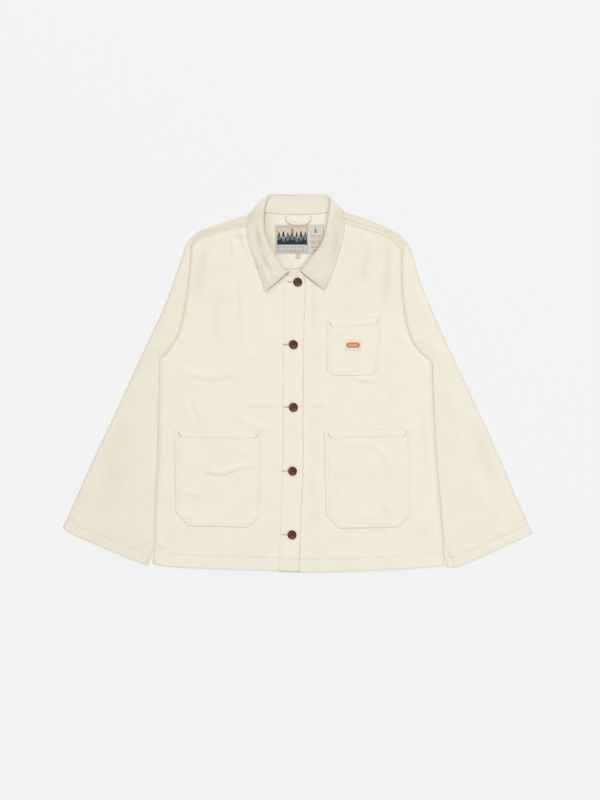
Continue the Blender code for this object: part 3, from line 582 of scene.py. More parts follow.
def pucker(x, y, rows, pitch, reach, rise, seed):
    """Ripples square to a seam, dying away to both sides of it."""
    path = curve(rows, 60)
    height = np.zeros(np.shape(x))
    near = in_reach(x, y, path, reach)
    if near.any():
        away, place = beside(x[near], y[near], path)
        height[near] = rise * ripple(place, pitch, seed) * bell(away, reach)
    return height


def undulate(x, y, size, rise, seed):
    """The slow rise and fall of pressed cloth: seven crossing waves of about one size."""
    draw = np.random.default_rng(seed)
    height = 0.0
    for _ in range(7):
        angle = draw.uniform(0, np.pi)
        length = size * draw.uniform(0.7, 1.6)
        phase = draw.uniform(0, 2 * np.pi)
        height = height + np.sin(2 * np.pi * (x * np.cos(angle) + y * np.sin(angle)) / length + phase)
    return rise * height / SEVEN_WAVES


def stitched(distance, *rows):
    """1 along each row of stitches, at its distance in from an edge, and 0 a few millimetres off it."""
    return sum(bell(distance - row, ROW_WIDTH) for row in rows)


def edge_shade(distance, look):
    """Painted shade falling away from a line, such as an edge where the cloth turns away from the light: a
    depth times a bell of a width.
    """
    depth, width = look
    return depth * bell(distance, width)


def uneven(grid, seed):
    """Between 0.35 and 1.15, changing slowly over the cloth: no row of stitches pulls evenly."""
    return 0.75 + 0.4 * np.clip(undulate(grid[..., 0], grid[..., 1], 38.0, 1.0, seed), -1.0, 1.0)


# ---------------------------------------------------------------- heights of the layers
def neck_lift(x, y):
    """How far the back is lifted by the collar's fall: a soft step on y times one on x."""
    return NECK_LIFT * ramp(y, LIFT_Y) * ramp(np.abs(x), LIFT_X)


def back_inside(x, y):
    """Top of the back inside the neck."""
    return CLOTH + neck_lift(x, y)


def body_top(x, y):
    """Top of the upper layer: low along its seams, and some millimetres up off the back inside them."""
    in_from_hem = y - y_at(HEM_LINE, x)
    in_from_shoulder = y_at(FOLD_LINE, x) - y
    seam = SIDE_TOP + (FOLD_TOP - SIDE_TOP) * ramp(y, SEAM_Y)
    at_hem = HEM_FULLNESS + (1 - HEM_FULLNESS) * ramp(in_from_hem, HEM_RUN)
    at_shoulder = SHOULDER_FULLNESS + (1 - SHOULDER_FULLNESS) * ramp(in_from_shoulder, SHOULDER_RUN)
    at_neck = 1 - (1 - NECK_FULLNESS) * ramp(y, NECK_FLAT_Y) * ramp(np.abs(x), NECK_FLAT_X)
    stand_off = ramp(from_body_side(x, y), SIDE_RUN) * at_hem * at_shoulder * at_neck
    return seam + neck_lift(x, y) + FULLNESS * stand_off


def front_top(side, x, y):
    """A front's outer face: the layer's height, its creases and puckers, calm where the collar lies on it."""
    height = body_top(x, y)
    if side == "left":
        height = height - (CLOTH + 2 * GAP) * ramp(x - x_at(FREE_LINE, y), DIP_X)
    seed = 10 if side == "right" else 20
    relief = creases(x, y, CREASES["front_" + side])
    relief += undulate(x, y, size=60.0, rise=0.12, seed=seed)
    relief += pucker(x, y, ARMHOLE[side], pitch=17.0, reach=12.0, rise=0.3, seed=seed + 1)
    relief += pucker(x, y, FORWARD_SEAM[side], pitch=SHOULDER_PITCH, reach=6.0, rise=0.32, seed=seed + 3)
    relief += pucker(x, y, HEM, pitch=12.0, reach=22.0, rise=0.16, seed=5)
    under_collar = ramp(y - y_at(COLLAR_LOW, x), UNDER_COLLAR) * ramp(np.abs(x), COLLAR_REACH_X)
    edge = from_body_side(x, y)
    roll = EDGE_SWELL * ramp(edge, EDGE_RISE) - EDGE_FALL * ramp(edge, EDGE_DROP)
    return height + relief * (1 - under_collar) * ramp(edge, CALM_EDGE) + roll


def hollows(relief):
    """How dark the troughs look, where less light reaches: 0 on ridges, up to about 0.5 in a trough."""
    return HOLLOW_SHADE * np.clip(-relief, 0.0, 2.4)


def lay(plan, height):
    """Plan points with a height worked out for each."""
    return np.dstack([plan, height(plan[..., 0], plan[..., 1])])


# ---------------------------------------------------------------- meshes
def build(name, points, faces, finish, grain=None, shade=None, tint=None):
    """A piece from points in millimetres and faces. Its grain map is in metres of cloth, its shade is painted
    shade, 1 where the material is darkest, and its tint is each thread's own colour."""
    mesh = bpy.data.meshes.new(name)
    mesh.from_pydata((np.asarray(points) * MM).tolist(), [], faces)
    mesh.materials.append(finish)
    if grain is not None:
        corners = np.empty(len(mesh.loops), np.int32)
        mesh.loops.foreach_get("vertex_index", corners)
        layer = mesh.uv_layers.new(name="grain")
        layer.data.foreach_set("uv", (grain[corners] * MM).astype(np.float32).ravel())
    if shade is not None:
        layer = mesh.attributes.new("shade", "FLOAT", "POINT")
        layer.data.foreach_set("value", np.asarray(shade, np.float32))
    if tint is not None:
        layer = mesh.attributes.new("thread", "FLOAT_COLOR", "POINT")
        rgba = np.column_stack([tint, np.ones(len(tint))])
        layer.data.foreach_set("color", rgba.astype(np.float32).ravel())
    mesh.shade_smooth()
    piece = bpy.data.objects.new(name, mesh)
    bpy.context.scene.collection.objects.link(piece)
    return piece


def from_border(grid, border):
    """How far each point is from the marked ones, along its row or its column, whichever is less."""
    nearest = np.full(border.shape, NO_EDGE)
    for axis in (0, 1):
        walk = walked(grid, axis)
        before = np.maximum.accumulate(np.where(border, walk, -NO_EDGE), axis=axis)
        ahead = np.flip(np.where(border, walk, NO_EDGE), axis)
        after = np.flip(np.minimum.accumulate(ahead, axis=axis), axis)
        nearest = np.minimum(nearest, np.minimum(walk - before, after - walk))
    return nearest


def from_sides(grid, *sides):
    """How far each point is from the named sides of its grid: left, right, foot or head."""
    border = np.zeros(grid.shape[:2], bool)
    for side in sides:
        lines = {"left": border[:, 0], "right": border[:, -1], "foot": border[0], "head": border[-1]}
        lines[side][...] = True
    return from_border(grid, border)


def quarter(distance, radius):
    """The height of a quarter circle, as a share of its radius: 0 at an edge and 1 a radius in from it."""
    return np.sqrt(1 - (1 - np.clip(distance / radius, 0, 1)) ** 2)


def shell(name, grid, rise, fall, finish, rim=RIM, keep=None, flip=False, grain=None, shade=None,
          lining_shade=0.0, tint=None):
    """A closed wall round a middle surface. Each point moves out by rise and in by fall along its normal,
    both shrunk near an open edge by a quarter circle, and edge points are shared. Only the cells to keep are
    built. Returns the piece, and its face as points and normals."""
    rows, columns = grid.shape[:2]
    keep = np.ones((rows - 1, columns - 1), bool) if keep is None else keep
    padded = np.pad(keep, 1).astype(int)
    cells = padded[:-1, :-1] + padded[1:, :-1] + padded[:-1, 1:] + padded[1:, 1:]
    used = cells > 0
    border = used & (cells < 4)
    normal = unit(np.cross(np.gradient(grid, axis=1), np.gradient(grid, axis=0))) * (-1 if flip else 1)
    inner = used & ~border
    rounding = quarter(from_border(grid, border), rim)
    face = grid + normal * (rise * rounding)[..., None]
    lining = grid - normal * (fall * rounding)[..., None]
    outside = np.cumsum(used).reshape(used.shape) - 1
    inside = np.where(border, outside, used.sum() + np.cumsum(inner).reshape(used.shape) - 1)
    quads = []
    for corner, turn in ((outside, flip), (inside, not flip)):
        quad = np.stack([corner[:-1, :-1], corner[:-1, 1:], corner[1:, 1:], corner[1:, :-1]], axis=-1)[keep]
        quads += (quad[:, ::-1] if turn else quad).tolist()

    def both(values, more=0.0):
        """A grid's values for the face's points and then the lining's, or none if there is no grid."""
        return None if values is None else np.concatenate([values[used], (values + more)[inner]])

    grain = grid[..., :2] if grain is None else grain
    points = np.concatenate([face[used], lining[inner]])
    piece = build(name, points, quads, finish, both(grain), both(shade, lining_shade), both(tint))
    return piece, (face, normal)


def line_on(face, rows, columns):
    """Points and normals along a run of a grid's rows or columns."""
    points, normals = face
    return points[rows, columns], normals[rows, columns]


def offset_line(xy, height):
    """A line in plan, laid on a surface, with upright normals."""
    points = np.column_stack([xy, height(xy[:, 0], xy[:, 1])])
    return points, np.tile(UP, (len(xy), 1))


THREAD_SIDES = 5
THREAD_SINK = 0.6  # its ends go under by this share of its radius
THREAD_RINGS = [(-0.62, 0.85), (0.0, 1.0), (0.62, 0.85)]  # share of the half length, share of the radius


def stitches(name, lines, finish, pitch=3.4, length=2.7, radius=0.26, across=None):
    """Rows of stitches. Each is a tapered thread bowed up out of the cloth: rings round a parabola, its ends
    sunk. Those with an across length lie square to their line instead, as satin stitches do."""
    centres, heads, ups = [], [], []
    for points, normals in lines:
        place = walked(points)
        count = max(2, int(place[-1] / pitch))
        at = (np.arange(count) + 0.5) * place[-1] / count
        start, end, middle, up = (
            np.column_stack([np.interp(at + shift, place, axis) for axis in values.T])
            for shift, values in ((-0.5, points), (0.5, points), (0.0, points), (0.0, normals))
        )
        centres.append(middle)
        heads.append(unit(end - start))
        ups.append(unit(up))
    centre, head, up = np.vstack(centres), np.vstack(heads), np.vstack(ups)
    side = unit(np.cross(up, head))
    if across:
        head, side = side, -head
    half = (across or length) / 2
    angles = 2 * np.pi * np.arange(THREAD_SIDES) / THREAD_SIDES
    rings = [centre + head * -half + up * -THREAD_SINK * radius]
    for share, size in THREAD_RINGS:
        bow = centre + head * share * half + up * radius * (0.75 - 0.5 * share**2)
        for angle in angles:
            rings.append(bow + (side * np.cos(angle) + up * np.sin(angle)) * radius * size)
    rings.append(centre + head * half + up * -THREAD_SINK * radius)
    points = np.stack(rings, axis=1)
    sides = THREAD_SIDES
    last = points.shape[1] - 1
    turns = [(k, (k + 1) % sides) for k in range(sides)]
    one = [[0, 1 + after, 1 + k] for k, after in turns]
    for low in range(1, 1 + (len(THREAD_RINGS) - 1) * sides, sides):
        one += [[low + k, low + after, low + sides + after, low + sides + k] for k, after in turns]
    one += [[last - sides + k, last - sides + after, last] for k, after in turns]
    flat = points.reshape(-1, 3)
    faces = [[corner + first for corner in face] for first in range(0, len(flat), last + 1) for face in one]
    return build(name, flat, faces, finish, grain=flat[:, :2])


# ---------------------------------------------------------------- materials
def colour(*srgb):
    """Linear colour from 0 to 255 values."""
    c = np.array(srgb) / 255.0
    return (*np.where(c <= 0.04045, c / 12.92, ((c + 0.055) / 1.055) ** 2.4), 1.0)


def new_group(name, inputs, outputs):
    """An empty node group with number inputs, and its input and output nodes."""
    group = bpy.data.node_groups.new(name, "ShaderNodeTree")
    for socket, value in inputs:
        made = group.interface.new_socket(name=socket, in_out="INPUT", socket_type="NodeSocketFloat")
        made.default_value = value
    for socket, kind in outputs:
        group.interface.new_socket(name=socket, in_out="OUTPUT", socket_type=kind)
    start = group.nodes.new("NodeGroupInput")
    end = group.nodes.new("NodeGroupOutput")
    return group, start, end


def node(tree, kind, links=(), **values):
    """A node with its properties, and its inputs set to a value or linked from a socket."""
    made = tree.nodes.new(kind)
    for key, value in values.items():
        setattr(made, key, value)
    for socket, value in dict(links).items():
        if isinstance(value, bpy.types.NodeSocket):
            tree.links.new(value, made.inputs[socket])
        else:
            made.inputs[socket].default_value = value
    return made


def maths(tree, operation, *values):
    """The result of one arithmetic step on numbers or sockets."""
    return node(tree, "ShaderNodeMath", dict(enumerate(values)), operation=operation).outputs[0]


def noise(tree, place, scale, detail):
    """The value of a noise at a place."""
    values = {"Vector": place, "Scale": scale, "Detail": detail}
    return node(tree, "ShaderNodeTexNoise", values).outputs["Fac"]


def stretched(tree, place, scale):
    """A place with each of its axes scaled."""
    return node(tree, "ShaderNodeMapping", {"Vector": place, "Scale": scale}).outputs[0]


LOOSENESS = 0.0016  # how far a yarn strays, in metres
BANDS = 0.444  # wave scale for one wale
YARNS = 2.3  # crossing yarns to a wale


def weave_group():
    """Twill: diagonal wales, crossed by finer yarns, both roughened. Height is 0 to 1, Tone about 0.5."""
    group, start, end = new_group(
        "twill weave",
        [("Wales per metre", 1100.0), ("Slub", 0.35)],
        [("Height", "NodeSocketFloat"), ("Tone", "NodeSocketFloat")],
    )
    grain = node(group, "ShaderNodeUVMap", uv_map="grain").outputs["UV"]
    pull = maths(group, "MULTIPLY", noise(group, grain, 240.0, 3.0), LOOSENESS)
    moved = node(group, "ShaderNodeVectorMath", {0: grain, 1: pull}, operation="ADD").outputs[0]
    scale = maths(group, "MULTIPLY", start.outputs["Wales per metre"], BANDS)
    yarn_scale = maths(group, "MULTIPLY", scale, YARNS)
    wale, yarn = (
        node(group, "ShaderNodeTexWave", {"Vector": moved, "Scale": size}, bands_direction=way).outputs["Fac"]
        for size, way in ((scale, "DIAGONAL"), (yarn_scale, "Y"))
    )
    slub = noise(group, stretched(group, grain, (900.0, 60.0, 1.0)), 1.0, 2.0)
    height = maths(group, "MULTIPLY_ADD", slub, start.outputs["Slub"], maths(group, "MULTIPLY", wale, yarn))
    mottle = noise(group, grain, 26.0, 4.0)
    tone = maths(group, "MULTIPLY_ADD", mottle, 0.5, maths(group, "MULTIPLY", slub, 0.5))
    group.links.new(height, end.inputs["Height"])
    group.links.new(tone, end.inputs["Tone"])
    return group


def plain_material(name, roughness, sheen=0.0):
    """A dull material, with its tree and its shader."""
    made = bpy.data.materials.new(name)
    made.use_nodes = True
    shader = made.node_tree.nodes["Principled BSDF"]
    shader.inputs["Roughness"].default_value = roughness
    shader.inputs["Specular IOR Level"].default_value = 0.25
    shader.inputs["Sheen Weight"].default_value = sheen
    return made, made.node_tree, shader


def mix(tree, factor, a, b, blend="MIX"):
    """The colour output of a mix of two colours, each a value or a socket."""
    made = node(tree, "ShaderNodeMix", {"Factor": factor}, data_type="RGBA", blend_type=blend)
    for name, value in (("A", a), ("B", b)):
        socket = next(i for i in made.inputs if i.name == name and i.type == "RGBA")
        if isinstance(value, bpy.types.NodeSocket):
            tree.links.new(value, socket)
        else:
            socket.default_value = value
    return next(o for o in made.outputs if o.type == "RGBA")


WEAVE = weave_group()
# The cloth's colour is multiplied towards the first where its painted shade is 1, a button's towards the
# second at its rim
PAINTED_SHADE_TINT = (0.8, 0.765, 0.69, 1.0)
RIM_TINT = (0.42, 0.42, 0.36, 1.0)


def woven(tree, shader, wales, strength, depth):
    """The weave at a number of wales per metre, linked to the shader as its bump."""
    made = node(tree, "ShaderNodeGroup", node_tree=WEAVE)
    made.inputs["Wales per metre"].default_value = wales
    values = {"Height": made.outputs["Height"], "Strength": strength, "Distance": depth}
    tree.links.new(node(tree, "ShaderNodeBump", values).outputs[0], shader.inputs["Normal"])
    return made


def mesh_value(tree, name, output="Fac"):
    """A value that the mesh carries at each of its points."""
    return node(tree, "ShaderNodeAttribute", attribute_name=name).outputs[output]


def cloth_material(name, dark, light, wales, depth):
    """Woven cotton: two near colours mixed by the weave's tone, deeper by the painted shade that the mesh
    carries along its stitches, edges, folds and troughs and in its painted shadows, with the weave as its
    bump."""
    made, tree, shader = plain_material(name, 0.9, 0.12)
    tone = woven(tree, shader, wales, 0.6, depth).outputs["Tone"]
    spread = node(tree, "ShaderNodeMapRange", {"Value": tone, "From Min": 0.32, "From Max": 0.68})
    plain = mix(tree, spread.outputs[0], colour(*dark), colour(*light))
    deep = mix(tree, mesh_value(tree, "shade"), plain, PAINTED_SHADE_TINT, "MULTIPLY")
    tree.links.new(deep, shader.inputs["Base Color"])
    return made


def label_material(name, wales, depth):
    """Woven label: the colour of each thread is on the mesh, with painted shade between the threads and a
    faint painted highlight on their tops.
    """
    made, tree, shader = plain_material(name, 0.75, 0.2)
    height = woven(tree, shader, wales, 0.5, depth).outputs["Height"]
    dim = node(tree, "ShaderNodeMapRange", {"Value": height, "To Min": 0.86, "To Max": 1.04}).outputs[0]
    thread = mesh_value(tree, "thread", "Color")
    scaled = node(tree, "ShaderNodeVectorMath", {0: thread, 3: dim}, operation="SCALE").outputs[0]
    tree.links.new(scaled, shader.inputs["Base Color"])
    return made


def button_material():
    """Dark horn: red-brown with darker cloudy streaks, darker still at the rim, worn smooth and polished."""
    made, tree, shader = plain_material("dark horn", 0.4)
    shader.inputs["Specular IOR Level"].default_value = 0.4
    shader.inputs["Coat Weight"].default_value = 0.08
    shader.inputs["Coat Roughness"].default_value = 0.25
    place = node(tree, "ShaderNodeTexCoord").outputs["Object"]
    cloud = noise(tree, stretched(tree, place, (260.0, 620.0, 400.0)), 1.0, 4.0)
    horn = mix(tree, cloud, colour(70, 33, 20), colour(124, 70, 50))
    dark = mix(tree, mesh_value(tree, "shade"), horn, RIM_TINT, "MULTIPLY")
    tree.links.new(dark, shader.inputs["Base Color"])
    return made


def solid_material(name, shade, roughness):
    """One even colour."""
    made, _, shader = plain_material(name, roughness)
    shader.inputs["Base Color"].default_value = shade
    return made


TWILL = cloth_material("cream twill", (235, 229, 211), (241, 235, 219), 1100.0, 0.00007)
# The collar's twill is darker than the body's: painted shade for the collar's duller look under the light
SHADED_CROSS_TWILL = cloth_material("cream twill cut across, with painted shade", (227, 220, 202), (234, 228, 212), 1100.0, 0.00007)
THREAD = cloth_material("cream thread", (222, 213, 190), (236, 229, 210), 2600.0, 0.00003)
TACK = cloth_material("tack thread", (206, 196, 172), (224, 216, 195), 2600.0, 0.00003)
HOLE = cloth_material("buttonhole thread", (214, 207, 187), (228, 222, 203), 2600.0, 0.00003)
TAPE = cloth_material("cream tape", (234, 227, 208), (242, 236, 220), 1900.0, 0.00005)
LABEL = label_material("woven label", 2400.0, 0.00004)
HORN = button_material()
# A dark line in each buttonhole: painted shadow in the slit between the stitches
SLIT = solid_material("painted shadow in the slit", colour(206, 197, 176), 0.95)
BROWN_THREAD = solid_material("brown thread", colour(70, 36, 26), 0.8)


def cloth(name, grid, rise, fall, finish=TWILL, slot="twill", **more):
    """A cloth piece that stands for the CAD node of its name, and its face."""
    piece, face = shell(name + "_cloth", grid, rise, fall, finish, **more)
    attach(piece, "root")
    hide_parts(name)
    return piece, face


def sew(name, lines, thread=THREAD, slot="twill", **size):
    """A piece that is only stitches, which rides with the cloth under it."""
    piece = stitches(name, lines, thread, **size)
    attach(piece, "root")
    return piece


# ---------------------------------------------------------------- fronts
# painted shade over the upper fronts, deeper towards the shoulders and on the left front
SHOULDER_SHADE = {"right": 0.05, "left": 0.13}
SHOULDER_SHADE_Y = (80.0, 220.0)
TIP_EDGE = np.array([(-57.0, 178.5), (-18.0, 212.0)])  # painted shadow below the right tip of the collar, which stands off
# The placket's top edge: y at one x, its slope, and the corner below and beside which it has no rows
PLACKET_TOP_Y = 217.6
PLACKET_TOP_X = -6.0
PLACKET_TOP_SLOPE = 0.1
PLACKET_TOP_CORNER = (-30.0, 190.0)
FAR_OFF = 400.0
NECK_ROW_PATH = [(-27.0, 219.5), (-17.0, 218.0), (-4.0, 217.2), (4.5, 217.0)]
BELOW_NECK = slice(3, -70)


def side_of_body(side):
    """The side seam and then the armhole, as one line."""
    seam = curve(SIDE_SEAM[side], 16)
    return np.vstack([seam, curve(ARMHOLE[side], 18)[1:]])


def below_placket_top(x, y):
    """How far a place is below the placket's top edge, and far off where that edge has no rows."""
    left, low = PLACKET_TOP_CORNER
    edge = PLACKET_TOP_Y - y - PLACKET_TOP_SLOPE * (x - PLACKET_TOP_X)
    return edge + FAR_OFF * (y < low) + FAR_OFF * (x < left)


def front_plan(side):
    """A front in plan: hem, side seam and armhole, forward shoulder seam, neckline and free edge."""
    outer = side_of_body(side)
    neck = curve(FRONT_NECK[side], 12)
    edge = np.asarray(FREE_EDGE)
    if side == "left":
        edge = edge - [UNDERLAP, 0.0]
        edge[-1] = FRONT_NECK["left"][0]
    inner = np.vstack([curve(edge, len(outer) - len(neck)), neck[1:]])
    u = np.linspace(0.0, 1.0, 15)
    shoulder = curve(FORWARD_SEAM[side], at=u)
    hem_x = outer[0, 0] + (inner[0, 0] - outer[0, 0]) * u
    hem = np.column_stack([hem_x, y_at(HEM_LINE, hem_x)])
    plan = patch(hem, shoulder, outer, inner, u, walked(outer) / walked(outer)[-1])
    edge_steps = PLACKET_EDGE if side == "right" else PLAIN_EDGE
    return refine_both(plan, CELLS["front"], PLAIN_EDGE, edge_steps, HEM_EDGE, SHOULDER_EDGE)


def front(side):
    """A front: its plan laid at its height, thicker along its turned edges, with its rows of stitches."""
    on_top = side == "right"
    grid = lay(front_plan(side), lambda x, y: front_top(side, x, y) - CLOTH / 2)
    x, y = grid[..., 0], grid[..., 1]
    hem_band = from_sides(grid, "foot")
    sewn = 0.7 * stitched(hem_band, HEM_ROW)
    sewn += stitched(from_sides(grid, "head"), SHOULDER_ROW) * (0.9 if on_top else 0.4)
    rise = CLOTH / 2 + HEM_RISE * ramp(hem_band, (HEM_ROW + 1.5, HEM_ROW - 0.5))
    if on_top:
        placket = from_sides(grid, "right")
        rise += PLACKET_RISE * ramp(placket, (PLACKET_ROW + 1.0, PLACKET_ROW - 0.5))
        sewn += stitched(below_placket_top(x, y), *NECK_ROWS) * 1.2
        sewn += stitched(placket, PLACKET_ROW, FIRST_ROW) * 0.5
    sewn *= uneven(grid, 31)
    rise -= GROOVE * sewn
    # Painted shade along the rows of stitches, at the sewn side, at the hem, over the upper front and in the
    # troughs; on the right front also along the placket's edge and as the collar tip's painted shadow
    shade = ROW_SHADE * sewn + edge_shade(from_sides(grid, "left"), SIDE_SHADE)
    shade += edge_shade(hem_band, HEM_SHADE)
    shade += SHOULDER_SHADE[side] * ramp(y, SHOULDER_SHADE_Y)
    if on_top:
        shade += edge_shade(placket, PLACKET_SHADE)
        shade += edge_shade(beside(x, y, TIP_EDGE)[0], TIP_SHADE)
    shade += hollows(creases(x, y, CREASES["front_" + side]))
    piece, face = cloth("front_" + side, grid, rise, CLOTH / 2, flip=not on_top, shade=shade)
    lines = [
        line_on(face, HEM_EDGE.index(HEM_ROW), slice(3, -3)),
        line_on(face, -1 - SHOULDER_EDGE.index(SHOULDER_ROW), slice(4, -4)),
    ]
    if on_top:
        for row in (PLACKET_ROW, FIRST_ROW):
            lines.append(line_on(face, BELOW_NECK, -1 - PLACKET_EDGE.index(row)))
        for drop in NECK_ROWS:
            path = curve([(px, py - drop) for px, py in NECK_ROW_PATH], 24)
            lines.append(offset_line(path, lambda px, py: front_top("right", px, py) + 0.3))
    return piece, [sew("stitches_front_" + side, lines)]


# ---------------------------------------------------------------- back
FOLD_RIDGE = 1.7  # the seam allowances inside lift the fold
SEAM_DIP = 0.5
ALONG_SHOULDER = np.linspace(0.0, 1.0, 61)
# painted shade over the shoulder strips, which slope away from the light
STRIP_SHADE = 0.26
NECK_SHADE = {"right": 0.75, "left": 0.1}  # the collar shades the back inside the neck
NECK_SHADE_Y = (222.0, 262.0)  # and less so towards the opening's foot,
NECK_SHADE_FOOT = 0.35  # where this share of it is left
NECK_SHADE_REACH = 17.0


def shoulder_layers(side, at):
    """At shares along a shoulder: the fold, the way in from it, the forward seam, both layers' heights."""
    fold = curve(SHOULDER_FOLD[side], at=at)
    seam = curve(FORWARD_SEAM[side], at=at)
    inward = unit(seam - fold)
    low = neck_lift(*fold.T) + CLOTH / 2 + FLOOR_LIFT
    high = body_top(*fold.T) - CLOTH / 2 + FOLD_RIDGE
    return fold, inward, seam - inward * GAP, low, high


def floor_edge(side):
    """Where the back's floor part ends at a shoulder: set in from the fold by the turn's radius."""
    fold, inward, _, low, high = shoulder_layers(side, ALONG_SHOULDER)
    return fold + inward * ((high - low) / 2)[:, None]


def over_shoulder(side, at):
    """Rows of the back from its floor part up round the fold, half a turn, and on to the forward seam."""
    fold, inward, seam, low, high = shoulder_layers(side, at)
    radius = (high - low) / 2
    rows = []
    for angle in np.radians(np.linspace(-90, 90, TURN_STEPS + 1))[1:]:
        plan = fold + inward * (radius * (1 - np.cos(angle)))[:, None]
        rows.append(np.column_stack([plan, low + radius * (1 + np.sin(angle))]))
    start = rows[-1].copy()
    run = start[:, :2] - seam
    width = np.linalg.norm(run, axis=1)
    near = np.minimum(STRIP_EDGE[0], 0.85 * width) / STRIP_EDGE[0]
    insets = [width + (STRIP_EDGE[0] * near - width) * share for share in STRIP_SHARES]
    insets += [inset * near for inset in STRIP_EDGE]
    seed = 13 if side == "right" else 23
    for inset in insets:
        share = inset / width
        plan = seam + run * share[:, None]
        height = body_top(*seam.T) - CLOTH / 2 - SEAM_DIP * smooth(inset / 1.5) * ramp(share, (1.0, 0.5))
        height = height + (start[:, 2] - height) * share**1.2
        ruffle = pucker(*plan.T, FORWARD_SEAM[side], pitch=SHOULDER_PITCH, reach=7.0, rise=0.3, seed=seed)
        ruffle += 0.2 * ripple(walked(plan), pitch=11.0, seed=17) * smooth(share * 2)
        rows.append(np.column_stack([plan, height + ruffle * ramp(share, (1.0, 0.7))]))
    return np.array(rows)


def back_floor(edges):
    """The back's part on the floor: its plan between hem, sides, shoulder edges and neck, and its creases."""
    neck = curve([edges["right"][-1], *BACK_NECK[1:-1], edges["left"][-1]], 24)
    top = np.vstack([edges["right"], neck[1:-1], edges["left"][::-1]])
    u = np.linspace(0.0, 1.0, 41)
    top_x = top[0, 0] + (top[-1, 0] - top[0, 0]) * u
    top = np.column_stack([top_x, y_at(top, top_x)])
    first, last = (np.vstack([side_of_body(side), edges[side][0]]) for side in SIDES)
    plan = patch(curve(HEM, at=u), top, first, last, u, walked(first) / walked(first)[-1])
    plan = refine_both(plan, CELLS["back"], PLAIN_EDGE, PLAIN_EDGE, HEM_EDGE, PLAIN_EDGE)
    relief = creases(plan[..., 0], plan[..., 1], CREASES["back"])
    calm = ramp(y_at(FOLD_LINE, plan[..., 0]) - plan[..., 1], (6.0, 30.0))
    return lay(plan, neck_lift) + UP * (CLOTH / 2 + FLOOR_LIFT + np.maximum(relief, 0.0) * calm)[..., None]


def neck_shading(x, y):
    """The collar's shade on the back: dark along each side's roll, and less so towards the opening's foot."""
    shade = 0.0
    for side, depth in NECK_SHADE.items():
        roll = curve([row[2:4] for row in COLLAR_FRONT[side]], 40)
        shade = shade + depth * bell(beside(x, y, roll)[0], NECK_SHADE_REACH)
    return shade * (NECK_SHADE_FOOT + (1 - NECK_SHADE_FOOT) * ramp(y, NECK_SHADE_Y))


def back():
    """The back on the floor, turned over both shoulders as far as the forward seams."""
    edges = {side: floor_edge(side) for side in SIDES}
    floor = back_floor(edges)
    x = floor[-1, :, 0]
    over = np.repeat(floor[-1:], TURN_STEPS + len(STRIP_SHARES) + len(STRIP_EDGE), axis=0)
    shoulder = np.zeros(len(x), int)
    for number, side in enumerate(SIDES, start=1):
        order = np.argsort(edges[side][:, 0])
        line_x = edges[side][order, 0]
        mine = (x >= line_x[0] - 1e-6) & (x <= line_x[-1] + 1e-6)
        over[:, mine] = over_shoulder(side, np.interp(x[mine], line_x, ALONG_SHOULDER[order]))
        shoulder[mine] = number
    grid = np.concatenate([floor, over])
    keep = np.ones((len(grid) - 1, len(x) - 1), bool)
    keep[len(floor) - 1 :] = (shoulder[:-1] == shoulder[1:]) & (shoulder[:-1] > 0)
    on_strip = np.arange(len(grid))[:, None] >= len(floor) + TURN_STEPS - 1
    strip_rows = np.where(shoulder == 1, STRIP_ROW["right"], STRIP_ROW["left"])
    sewn = stitched(from_sides(grid, "head") - strip_rows, 0.0) * on_strip
    sewn += stitched(from_sides(grid, "foot"), HEM_ROW)
    sewn *= uneven(grid, 32)
    up_back = walked(grid, 0)
    from_fold = np.abs(up_back - up_back[len(floor) + TURN_STEPS // 2 - 1])
    # Painted shade along the rows, over the shoulder strips and along the shoulder folds; the lining inside
    # the neck gets the collar's painted shadow
    shade = ROW_SHADE * sewn + STRIP_SHADE * on_strip
    shade += edge_shade(from_fold, SHOULDER_FOLD_SHADE) * (shoulder > 0)
    inside = neck_shading(grid[..., 0], grid[..., 1]) * ~on_strip
    piece, face = cloth("back", grid, CLOTH / 2 - GROOVE * sewn, CLOTH / 2, keep=keep, flip=True, shade=shade,
                        lining_shade=inside)
    lines = [line_on(face, HEM_EDGE.index(HEM_ROW), slice(4, -4))]
    for number, side in enumerate(SIDES, start=1):
        row = len(grid) - len(STRIP_EDGE) + STRIP_EDGE.index(STRIP_ROW[side])
        lines.append(line_on(face, row, np.flatnonzero(shoulder == number)[4:-4]))
    return piece, [sew("stitches_back", lines)]


# ---------------------------------------------------------------- sleeves
SLEEVE_SINK = 0.5  # the upper layer can sink this far before it meets the lower one
SLEEVE_SHADE = {"right": 0.17, "left": 0.06}  # painted shade over each sleeve, which lies in less light than the fronts


def sleeve_plan(side):
    """A sleeve in plan, from its outer edge to its inner one and on along the armhole, cuff at the foot."""
    outward = -1.0 if side == "right" else 1.0
    armhole = curve(ARMHOLE[side], 18)
    along = unit(np.gradient(armhole, axis=0))
    armhole = armhole + np.column_stack([along[:, 1], -along[:, 0]]) * outward * GAP
    inner = curve(SLEEVE_INNER[side][::-1], 18)
    outer_at = np.r_[np.linspace(0.0, 0.62, 19), np.linspace(0.62, 1.0, 19)[1:]]
    outer = curve(SLEEVE_OUTER[side][::-1], at=outer_at)
    last = np.vstack([inner, armhole[1:]])
    u = np.linspace(0.0, 1.0, 11)
    cuff = curve([outer[0], *CUFF[side][1:-1], last[0]], at=u)
    top = outer[-1] + (last[-1] - outer[-1]) * u[:, None]
    plan = patch(cuff, top, outer, last, u, np.linspace(0.0, 1.0, len(outer)))
    return refine_both(plan, CELLS["sleeve"], PLAIN_EDGE, PLAIN_EDGE, CUFF_EDGE, PLAIN_EDGE)


